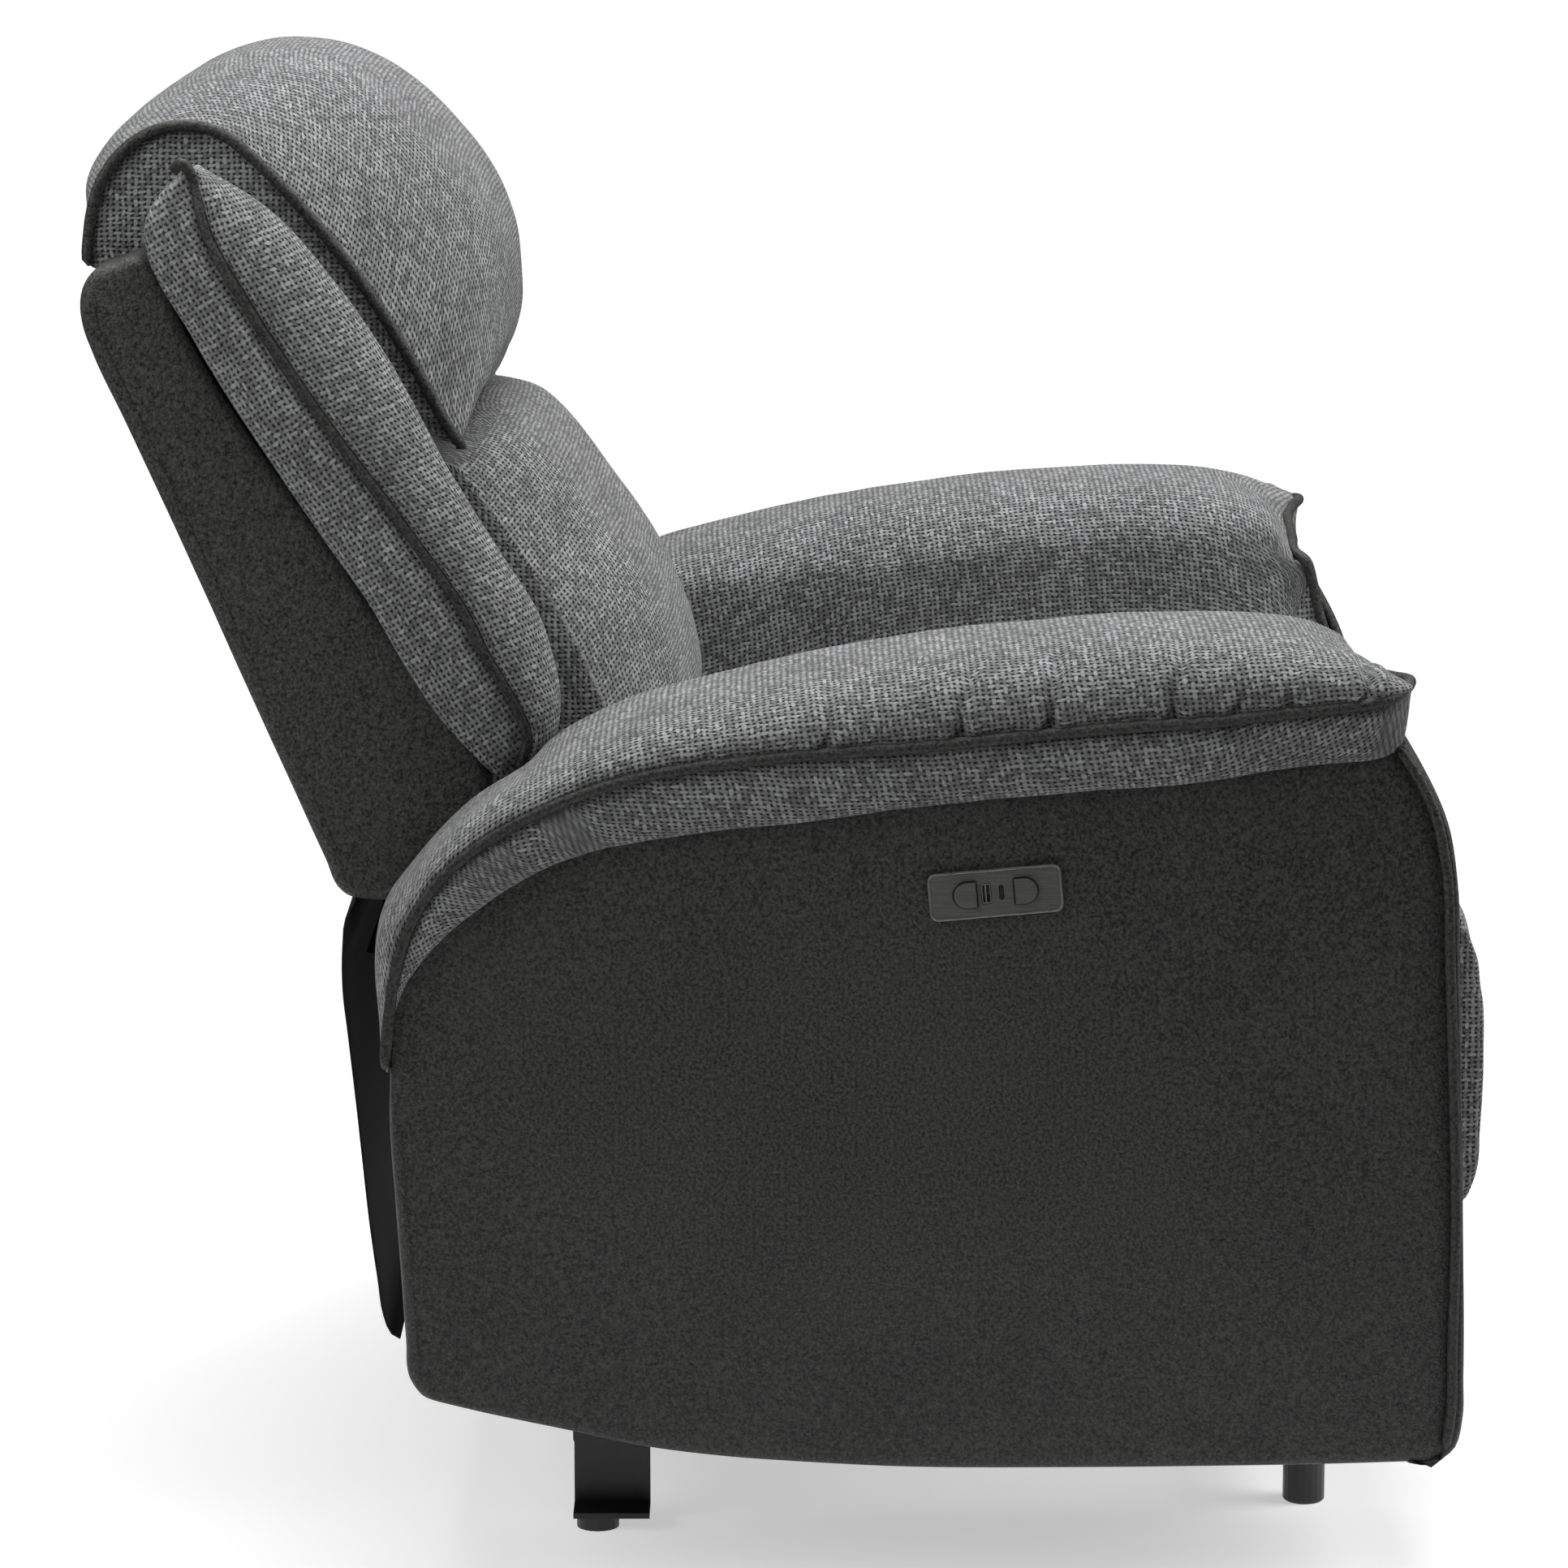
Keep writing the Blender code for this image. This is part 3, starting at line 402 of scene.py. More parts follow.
chenille = {"yarnLong": 0.0044, "yarnShort": 0.0036, "crimp": 0.26, "gapShade": (0.008, 0.008, 0.009),
            "low": (0.095, 0.096, 0.097), "middle": (0.230, 0.232, 0.236), "high": (0.390, 0.394, 0.400),
            "fleck": (0.62, 0.625, 0.63), "relief": 0.0022, "slack": 0.0034}


# Chunky basket weave: floats of yarn lie along and across by turns, each with its own shade, with painted shade near
# black in the gaps between them
def chenilleMaterial():
    material, tree, shader = startMaterial("greyChenille")
    flat = put(tree, "ShaderNodeUVMap", uv_map="weave").outputs[0]
    slack = noiseOn(tree, flat, 90.0, 1.0).outputs["Color"]
    slack = put(tree, "ShaderNodeVectorMath", {0: slack, 1: (0.5, 0.5, 0.5)}, operation="SUBTRACT").outputs[0]
    slack = put(tree, "ShaderNodeVectorMath", {0: slack, 1: (chenille["slack"], chenille["slack"], 0)},
                operation="MULTIPLY").outputs[0]
    moved = put(tree, "ShaderNodeVectorMath", {0: flat, 1: slack}, operation="ADD").outputs[0]
    split = put(tree, "ShaderNodeSeparateXYZ", {0: moved})
    u = calc(tree, "DIVIDE", split.outputs[0], chenille["yarnLong"])
    v = calc(tree, "DIVIDE", split.outputs[1], chenille["yarnShort"])
    cellU, cellV = calc(tree, "FLOOR", u), calc(tree, "FLOOR", v)
    parity = calc(tree, "FLOORED_MODULO", calc(tree, "ADD", cellU, cellV), 2.0)
    sign = calc(tree, "SUBTRACT", 1.0, calc(tree, "MULTIPLY", parity, 2.0))
    offU = calc(tree, "SUBTRACT", calc(tree, "SUBTRACT", u, cellU), 0.5)
    offV = calc(tree, "SUBTRACT", calc(tree, "SUBTRACT", v, cellV), 0.5)

    # a yarn's height where it rises over its neighbour, and the round of its own section
    def yarn(over, along, across):
        lift = calc(tree, "MULTIPLY", calc(tree, "MULTIPLY", over, chenille["crimp"]),
                    calc(tree, "COSINE", calc(tree, "MULTIPLY", along, math.pi)))
        section = calc(tree, "SUBTRACT", 1.0, calc(tree, "MULTIPLY", calc(tree, "MULTIPLY", across, across), 4.2))
        return calc(tree, "ADD", lift, section)

    weft = yarn(sign, offU, offV)
    warp = yarn(calc(tree, "MULTIPLY", sign, -1.0), offV, offU)
    weftOnTop = calc(tree, "GREATER_THAN", weft, warp)
    rise = put(tree, "ShaderNodeMapRange", {"Value": calc(tree, "MAXIMUM", weft, warp), "From Min": 0.34,
                                              "From Max": 0.98}, clamp=True).outputs[0]
    # a float keeps one shade over its whole length, past its own cell
    nextU = calc(tree, "ADD", cellU, calc(tree, "MULTIPLY", parity, calc(tree, "SIGN", offU)))
    nextV = calc(tree, "ADD", cellV, calc(tree, "MULTIPLY", calc(tree, "SUBTRACT", 1.0, parity),
                                          calc(tree, "SIGN", offV)))
    shadeU = blendValue(tree, weftOnTop, cellU, nextU)
    shadeV = blendValue(tree, weftOnTop, nextV, cellV)
    fuzz = noiseOn(tree, flat, 1500.0, 3.0, 0.65).outputs["Fac"]
    strands = noiseOn(tree, flat, 520.0, 2.0, 0.6).outputs["Fac"]
    height = calc(tree, "ADD", rise, calc(tree, "MULTIPLY", fuzz, 0.35))
    cell = put(tree, "ShaderNodeCombineXYZ", {0: shadeU, 1: shadeV, 2: weftOnTop})
    shade = put(tree, "ShaderNodeTexWhiteNoise", {"Vector": cell.outputs[0]}, noise_dimensions="3D").outputs["Value"]
    shade = calc(tree, "ADD", calc(tree, "MULTIPLY", shade, 0.55), calc(tree, "MULTIPLY", strands, 0.45))
    colour = ramp(tree, shade, [(0.06, chenille["low"]), (0.40, chenille["middle"]), (0.74, chenille["high"]),
                                (0.93, chenille["fleck"])])
    nap = noiseOn(tree, flat, 14.0, 3.0, 0.55).outputs["Fac"]
    nap = put(tree, "ShaderNodeMapRange", {"Value": nap, "From Min": 0.3, "From Max": 0.7, "To Min": 0.86,
                                           "To Max": 1.12}).outputs[0]
    # painted shade: where the yarns sink, the colour fades to near black in the gaps between them
    gapShadeMix = calc(tree, "POWER", rise, 0.9)
    colour = put(tree, "ShaderNodeMix", {0: gapShadeMix, 6: (*chenille["gapShade"], 1.0), 7: colour},
                 data_type="RGBA").outputs[2]
    tree.links.new(tinted(tree, colour, nap), shader.inputs["Base Color"])
    rough = put(tree, "ShaderNodeMapRange", {"Value": fuzz, "To Min": 0.82, "To Max": 1.0}).outputs[0]
    tree.links.new(rough, shader.inputs["Roughness"])
    shader.inputs["Sheen Weight"].default_value = 0.20
    shader.inputs["Sheen Roughness"].default_value = 0.45
    shader.inputs["Specular IOR Level"].default_value = 0.2
    bumpInto(tree, shader, height, chenille["relief"])
    return material


# the last two entries paint the leather darker low down and lighter high up: painted shade and painted light by height
leather = {"colour": (0.0330, 0.0330, 0.0315), "grain": 640.0, "relief": 0.00055, "gloss": (0.50, 0.66),
           "paintedShadeLow": (0.12, 0.64), "paintedLightHigh": (0.60, 1.25)}  # a height and the tone there


# Fine pebbled synthetic leather with faint cloudiness; its colour is painted darker towards the floor and lighter
# higher up, as painted shade and painted light
def leatherMaterial(name, tone=1.0):
    material, tree, shader = startMaterial(name)
    place = put(tree, "ShaderNodeTexCoord").outputs["Object"]
    pebbles = put(tree, "ShaderNodeTexVoronoi", {"Vector": place, "Scale": leather["grain"], "Smoothness": 0.6},
                  feature="SMOOTH_F1").outputs["Distance"]
    creases = noiseOn(tree, place, 300.0, 4.0, 0.62).outputs["Fac"]
    cloud = noiseOn(tree, place, 9.0, 3.0, 0.5).outputs["Fac"]
    height = calc(tree, "ADD", calc(tree, "MULTIPLY", pebbles, -0.8), calc(tree, "MULTIPLY", creases, 0.7))
    low = tuple(c * tone * 0.20 for c in leather["colour"])
    high = tuple(c * tone * 2.20 for c in leather["colour"])
    coarse = noiseOn(tree, place, 420.0, 1.0, 0.5).outputs["Fac"]
    grain = calc(tree, "ADD", calc(tree, "MULTIPLY", height, 0.30),
                 calc(tree, "ADD", calc(tree, "MULTIPLY", coarse, 0.75), calc(tree, "MULTIPLY", cloud, 0.12)))
    # painted shade and painted light: the colour is darkened towards the floor and lightened higher up
    aboveFloor = put(tree, "ShaderNodeSeparateXYZ", {0: place}).outputs[2]
    paintedHeightShade = put(tree, "ShaderNodeMapRange", {"Value": aboveFloor, "From Min": leather["paintedShadeLow"][0],
                                            "From Max": leather["paintedLightHigh"][0], "To Min": leather["paintedShadeLow"][1],
                                            "To Max": leather["paintedLightHigh"][1]}).outputs[0]
    colour = tinted(tree, ramp(tree, grain, [(0.22, low), (0.66, high)]), paintedHeightShade)
    tree.links.new(colour, shader.inputs["Base Color"])
    rough = put(tree, "ShaderNodeMapRange", {"Value": creases, "From Min": 0.3, "From Max": 0.7,
                                             "To Min": leather["gloss"][0], "To Max": leather["gloss"][1]}).outputs[0]
    tree.links.new(rough, shader.inputs["Roughness"])
    shader.inputs["Specular IOR Level"].default_value = 0.35
    bumpInto(tree, shader, height, leather["relief"], 0.9)
    return material


# Metals and moulded parts: a base colour with soft blotches, streaks along one axis and a fine relief
def hardMaterial(name, low, high, rough, metallic, scale, stretch=(1, 1, 1), relief=0.00008, fine=900.0):
    material, tree, shader = startMaterial(name)
    place = put(tree, "ShaderNodeTexCoord").outputs["Object"]
    turned = put(tree, "ShaderNodeMapping", {"Vector": place, "Scale": stretch}).outputs[0]
    broad = noiseOn(tree, turned, scale, 4.0, 0.6).outputs["Fac"]
    small = noiseOn(tree, turned, fine, 2.0, 0.5).outputs["Fac"]
    mixed = calc(tree, "ADD", calc(tree, "MULTIPLY", broad, 0.6), calc(tree, "MULTIPLY", small, 0.4))
    tree.links.new(ramp(tree, mixed, [(0.33, low), (0.67, high)]), shader.inputs["Base Color"])
    tree.links.new(put(tree, "ShaderNodeMapRange", {"Value": mixed, "From Min": 0.3, "From Max": 0.7,
                                                    "To Min": rough[0], "To Max": rough[1]}).outputs[0],
                   shader.inputs["Roughness"])
    shader.inputs["Metallic"].default_value = metallic
    bumpInto(tree, shader, small, relief, 0.6)
    return material


def plywoodMaterial():
    material, tree, shader = startMaterial("plywood")
    place = put(tree, "ShaderNodeTexCoord").outputs["Object"]
    drawn = put(tree, "ShaderNodeMapping", {"Vector": place, "Scale": (3.0, 26.0, 26.0)}).outputs[0]
    figure = noiseOn(tree, drawn, 2.2, 5.0, 0.6).outputs["Fac"]
    pores = noiseOn(tree, drawn, 28.0, 2.0, 0.7).outputs["Fac"]
    mixed = calc(tree, "ADD", calc(tree, "MULTIPLY", figure, 0.7), calc(tree, "MULTIPLY", pores, 0.3))
    wood = ramp(tree, mixed, [(0.32, (0.33, 0.19, 0.085)), (0.5, (0.50, 0.32, 0.16)), (0.7, (0.63, 0.45, 0.26))])
    tree.links.new(wood, shader.inputs["Base Color"])
    tree.links.new(put(tree, "ShaderNodeMapRange", {"Value": pores, "To Min": 0.62, "To Max": 0.88}).outputs[0],
                   shader.inputs["Roughness"])
    bumpInto(tree, shader, mixed, 0.0004, 0.6)
    return material


# Pressed fibre cloth with a grid of bonded dots
def dustClothMaterial():
    material, tree, shader = startMaterial("dustCloth")
    flat = put(tree, "ShaderNodeUVMap", uv_map="weave").outputs[0]
    fibres = noiseOn(tree, flat, 1300.0, 4.0, 0.7).outputs["Fac"]
    dots = put(tree, "ShaderNodeTexVoronoi", {"Vector": flat, "Scale": 620.0, "Randomness": 0.0}).outputs["Distance"]
    dots = put(tree, "ShaderNodeMapRange", {"Value": dots, "From Min": 0.12, "From Max": 0.3}).outputs[0]
    mixed = calc(tree, "MULTIPLY", calc(tree, "ADD", dots, 0.4), fibres)
    tree.links.new(ramp(tree, mixed, [(0.15, (0.0016, 0.0016, 0.0018)), (0.75, (0.0065, 0.0065, 0.0070))]),
                   shader.inputs["Base Color"])
    tree.links.new(put(tree, "ShaderNodeMapRange", {"Value": fibres, "To Min": 0.7, "To Max": 0.95}).outputs[0],
                   shader.inputs["Roughness"])
    bumpInto(tree, shader, mixed, 0.0003)
    return material


chenilleCloth = chenilleMaterial()
charcoalLeather = leatherMaterial("charcoalLeather")
# the back shell uses the same leather painted lighter, standing in for the stronger light on it: painted light
paintedLitBackLeather = leatherMaterial("paintedLitBackLeather", 1.12)
pipingLeather = leatherMaterial("pipingLeather", 0.86)
threadFinish = hardMaterial("stitchThread", (0.010, 0.010, 0.010), (0.024, 0.024, 0.024), (0.6, 0.8), 0.0, 900.0)
blackSteel = hardMaterial("blackSteel", (0.010, 0.010, 0.011), (0.020, 0.020, 0.022), (0.28, 0.42), 0.35, 60.0)
zincSteel = hardMaterial("zincSteel", (0.33, 0.33, 0.32), (0.52, 0.52, 0.50), (0.26, 0.46), 1.0, 45.0)
gunmetal = hardMaterial("gunmetal", (0.084, 0.084, 0.079), (0.190, 0.189, 0.180), (0.34, 0.48), 0.35, 60.0,
                        (1.0, 1.0, 26.0), 0.00003)
brightEdge = hardMaterial("brightEdge", (0.14, 0.14, 0.135), (0.30, 0.30, 0.29), (0.28, 0.40), 0.5, 120.0)
blackPlastic = hardMaterial("blackPlastic", (0.009, 0.009, 0.009), (0.018, 0.018, 0.018), (0.34, 0.5), 0.0, 160.0)
plywood = plywoodMaterial()
dustCloth = dustClothMaterial()
print("materials made")

slotFinish = {"black_steel": blackSteel, "zinc_steel": zincSteel, "gunmetal": gunmetal,
              "black_plastic": blackPlastic, "plywood": plywood, "charcoal_leather": charcoalLeather,
              "grey_chenille": chenilleCloth, "dust_cloth": dustCloth}


# the buttons match their plate, and the boards that show when the chair opens are wrapped
nodeFinish = {"button_open": gunmetal, "button_close": gunmetal}
wrappedBoards = ("seat_rail_", "footrest_board", "arm_board_")
nodeFinish.update({name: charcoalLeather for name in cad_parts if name.startswith(wrappedBoards)})


def paintFrameNodes():
    for name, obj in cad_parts.items():
        for place in obj.material_slots:
            named = place.material.name.split(".")[0] if place.material else ""
            place.material = nodeFinish.get(name, slotFinish.get(named, blackSteel))


paintFrameNodes()


def between(a, b, t):
    return a + (b - a) * t


# A point on one side of the chair from its distance out and its (forward, height) place
def spot(side, x, place):
    return (side * x, -place[0], place[1])


# Points of one ring, softened through its corners but sharp where it is sewn
def ringThrough(corners, sewn, count):
    closed = corners[sewn:] + corners[:sewn] + [corners[sewn]]
    return smoothLine(closed, count + 1, bias=np.linspace(0, 1, count + 1))[:-1]


# Arm pillows: a sewn edge outside, a crown over the top and a hem down the inside
armPillow = {"outerX": 0.4835, "innerX": 0.2768, "backInnerX": 0.352, "notchForward": -0.156, "stations": 150,
             "endStations": 40, "around": 76, "hem": 0.060, "frontStart": 0.385, "frontEnd": 0.4200,
             "frontSag": 0.017, "pressure": 2.6, "cap": 0.0035, "slack": (0.0011, 0.060, 2.0), "fill": 0.65,
             "pipingRadius": 0.0041, "pipingInnerX": 0.2815, "tuckDepth": 0.0060, "tuckWidth": 0.0042,
             "tuckReach": 0.050, "tuckLean": 0.16, "recede": 0.0175, "sag": 0.013}
armSeamLine = [(-0.2665, 0.366), (-0.2640, 0.395), (-0.2591, 0.4138), (-0.2531, 0.4272), (-0.2463, 0.4374),
               (-0.2311, 0.4562), (-0.2160, 0.4697), (-0.1859, 0.4918), (-0.1692, 0.5020), (-0.1442, 0.5130),
               (-0.1193, 0.5198), (-0.0943, 0.5243), (-0.0466, 0.5319), (0.0177, 0.5389), (0.0818, 0.5471),
               (0.1245, 0.5519), (0.2100, 0.5602), (0.2889, 0.5672), (0.3213, 0.5729), (0.3645, 0.5778),
               (0.4055, 0.5818), (0.4110, 0.5830)]
armPipeLine = [(-0.2690, 0.370), (-0.2665, 0.400), (-0.2624, 0.4246), (-0.2588, 0.4450), (-0.2536, 0.4637),
               (-0.2451, 0.4823), (-0.2350, 0.4976), (-0.2183, 0.5153), (-0.2016, 0.5280), (-0.1816, 0.5398),
               (-0.1617, 0.5498), (-0.1435, 0.5583), (-0.1269, 0.5642), (-0.1021, 0.5717), (-0.0773, 0.5772),
               (-0.0464, 0.5812), (0.0176, 0.5884), (0.0814, 0.5925), (0.1239, 0.5969), (0.2093, 0.6051),
               (0.2518, 0.6084), (0.2876, 0.6104), (0.3198, 0.6144), (0.3628, 0.6188), (0.3971, 0.6240),
               (0.4110, 0.6280), (0.4185, 0.6295)]
armCrownLine = [(-0.2720, 0.374), (-0.2745, 0.404), (-0.2775, 0.4364), (-0.2765, 0.4570), (-0.2721, 0.4709),
                (-0.2602, 0.4862), (-0.2465, 0.5050), (-0.2261, 0.5275), (-0.2042, 0.5480), (-0.1893, 0.5575),
                (-0.1604, 0.5725), (-0.1215, 0.5925), (-0.0960, 0.6030), (-0.0474, 0.6155), (0.018, 0.6315),
                (0.083, 0.6437), (0.170, 0.6545), (0.257, 0.6610), (0.305, 0.6613), (0.350, 0.6575), (0.380, 0.6505),
                (0.400, 0.6420), (0.4130, 0.6350), (0.4190, 0.6318)]
# where the cloth is gathered above the sewn line, and how deep
armTucks = [(-0.052, 0.3), (0.026, 0.6), (0.1155, 0.9), (0.174, 1.0), (0.2566, 0.9), (0.300, 0.5), (0.335, 0.5),
            (0.385, 1.0)]


def armPillowPiece(side, label):
    d = armPillow
    share = np.concatenate([np.linspace(0, 0.90, d["stations"] - d["endStations"], endpoint=False),
                            0.90 + 0.10 * crowded(d["endStations"], False, True, 1.6)])
    seam = smoothLine(armSeamLine, 0, bias=share)
    pipe = smoothLine(armPipeLine, 0, bias=share)
    crown = smoothLine(armCrownLine, 0, bias=share)
    rings, sewnLine = [], []
    sewn = 3
    for s, p, c in zip(seam, pipe, crown):
        forward = p[0]
        notch = 1 / (1 + math.exp(-(forward - d["notchForward"]) / 0.0035))
        inner = d["backInnerX"] + (d["innerX"] - d["backInnerX"]) * notch
        outer = d["outerX"] - 0.010 * max(0.0, (-0.235 - forward) / 0.035) ** 1.5
        sag = np.zeros(2)
        if forward > d["frontStart"]:
            t = min(1.0, (forward - d["frontStart"]) / (d["frontEnd"] - d["frontStart"]))
            plan = max(0.0, 1 - t**2.4) ** (1 / 2.4)
            outer -= 0.026 * (1 - plan)
            inner += 0.008 * (1 - plan)
            sag = np.array([0.0, -d["frontSag"] * (1 - plan)])
        width = outer - inner
        rise = c - p
        drop = s - p
        soft = min(1.0, np.linalg.norm(drop) / 0.028)
        hem = min(1.0, max(0.0, (forward + 0.24) / 0.05))
        hem *= min(1.0, max(0.12, (0.4195 - forward) / 0.02))
        below = between(p, s, 1.0) + np.array([0.0, -d["hem"] * hem])
        corners = [spot(side, outer - 0.016, s), spot(side, outer - 0.0045, between(s, p, 0.10)),
                   spot(side, outer + 0.0020 * soft, between(s, p, 0.50)),
                   spot(side, outer - 0.0050, between(s, p, 0.97)),
                   spot(side, outer + 0.0018 * soft, p + rise * 0.17), spot(side, outer + 0.0004, p + rise * 0.36),
                   spot(side, outer - 0.0075, p + rise * 0.62), spot(side, outer - width * 0.13, p + rise * 0.84),
                   spot(side, outer - width * 0.28, p + rise * 0.965), spot(side, outer - width * 0.47, c),
                   spot(side, inner + width * 0.30, p + rise * 0.975 + sag * 0.2),
                   spot(side, inner + width * 0.13, p + rise * 0.85 + sag * 0.55),
                   spot(side, inner + 0.008, p + rise * 0.60 + sag * 0.9),
                   spot(side, inner + 0.0005, p + rise * 0.25 + sag), spot(side, inner, p + sag),
                   spot(side, inner, between(p, below, 0.6)), spot(side, inner + 0.0015, below),
                   spot(side, inner + 0.010, below + np.array([0.0, 0.002])),
                   spot(side, inner + 0.016, between(below, s, 0.6)),
                   spot(side, inner + width * 0.35, s + np.array([0.0, 0.001]))]
        rings.append(ringThrough(corners, sewn, d["around"]))
        sewnLine.append(corners[sewn])
    mesh = skin(f"arm_pillow_{label}", rings, 0, ((1, 0, 0), (0, 0, 1)), (0.0, 0.0075))
    obj = newObject(f"arm_pillow_{label}", mesh, chenilleCloth)
    around, count = d["around"], len(rings)
    low = [i * around + j for i in range(count) for j in list(range(around - 14, around)) + [0]]
    ends = list(range(0, 5 * around)) + list(range((count - 2) * around, len(mesh.vertices)))
    inflate(obj, set(low) | set(ends), d["pressure"], d["cap"])
    # the front's own edge: up from the sewn line, over the top and down the inner corner
    last = rings[-1]
    lowest = int(np.argmin(np.abs(last[:, 2] - (pipe[-1][1] - 0.012)) + (np.abs(last[:, 0]) > 0.31) * 1.0))
    return obj, np.array(sewnLine), last[:lowest + 1]


# Gathers: narrow valleys that rise from the sewn line and fade out
def gathered(obj, line, side):
    depth, width, reach = armPillow["tuckDepth"], armPillow["tuckWidth"], armPillow["tuckReach"]
    points, normals = meshPoints(obj.data), meshNormals(obj.data)
    forward, height = -points[:, 1], points[:, 2]
    order = np.argsort(-line[:, 1])
    up = height - np.interp(forward, -line[order, 1], line[order, 2])
    start = 0.424 if side < 0 else 0.450
    outside = np.clip((side * points[:, 0] - start) / 0.026, 0, 1)
    lift = np.zeros(len(points))
    for place, strength in armTucks:
        lean = armPillow["tuckLean"] * np.clip(up, 0, 1)
        off = forward - place - lean + 0.0016 * np.sin(up * 160 + place * 90)
        fade = np.clip(up / 0.006, 0, 1) * np.exp(-(np.clip(up, 0, None) / (reach * (0.55 + 0.45 * strength))) ** 2)
        lift -= depth * strength * np.exp(-(off / width) ** 2) * fade
        lift += depth * 0.42 * strength * np.exp(-((np.abs(off) - 2.1 * width) / (1.3 * width)) ** 2) * fade
    setPoints(obj.data, points + normals * (lift * outside)[:, None])


def eased(t):
    t = np.clip(t, 0, 1)
    return t * t * (3 - 2 * t)


# The front edge falls back, and down, from the outer corner towards the inner one
def recede(points):
    across, forward, height = np.abs(points[:, 0]), -points[:, 1], points[:, 2]
    back = eased((0.470 - across) / 0.10) * eased((forward - 0.335) / 0.0845) * eased((height - 0.585) / 0.035)
    down = eased((0.472 - across) / 0.17) * eased((forward - 0.398) / 0.018) * eased((height - 0.600) / 0.02)
    moved = points.copy()
    moved[:, 1] += armPillow["recede"] * back
    moved[:, 2] -= armPillow["sag"] * down
    return moved


armPillows = {label: armPillowPiece(side, label) for label, side in sides.items()}


# The arm's cover: a side panel, a crowned front panel and a narrow rear return, cut from one grid
armCover = {"outerX": 0.4700, "innerX": 0.2845, "backInnerX": 0.352, "lowInnerX": 0.3345, "frontColumns": 34,
            "sideColumns": 92, "rearColumns": 14, "rows": 64, "wall": 0.0035, "edge": 0.009, "hemEdge": 0.007,
            "slack": (0.0007, 0.15, 4.0), "pipingRadius": 0.0036}
coverFrontPiping = [(0.448, 0.094), (0.4525, 0.120), (0.4535, 0.181), (0.454, 0.267), (0.451, 0.350), (0.447, 0.435),
                    (0.442, 0.513), (0.434, 0.546), (0.423, 0.569), (0.409, 0.590)]
coverFrontSilhouette = [(0.440, 0.0915), (0.4575, 0.100), (0.464, 0.122), (0.464, 0.149), (0.461, 0.260),
                        (0.458, 0.370), (0.4555, 0.440), (0.453, 0.494), (0.446, 0.535), (0.434, 0.563),
                        (0.4165, 0.5915)]
coverTop = [(-0.264, 0.380), (-0.2635, 0.402), (-0.2595, 0.4220), (-0.2540, 0.4370), (-0.2465, 0.4490),
            (-0.2330, 0.4670), (-0.2170, 0.4805), (-0.1720, 0.5130), (-0.1450, 0.5240), (-0.0940, 0.5350),
            (-0.0466, 0.5420), (0.0177, 0.5490), (0.1245, 0.5615), (0.2100, 0.5700), (0.2889, 0.5770),
            (0.3645, 0.5870), (0.4090, 0.5900)]
coverBottom = [(-0.2465, 0.1385), (-0.202, 0.1275), (-0.147, 0.1155), (-0.092, 0.1035), (-0.037, 0.0965),
               (0.019, 0.0925), (0.075, 0.0898), (0.130, 0.0888), (0.200, 0.0890), (0.262, 0.0898), (0.350, 0.0910),
               (0.448, 0.094)]
coverRear = [(-0.2465, 0.1385), (-0.255, 0.152), (-0.2565, 0.175), (-0.258, 0.199), (-0.263, 0.277),
             (-0.266, 0.330), (-0.264, 0.380)]


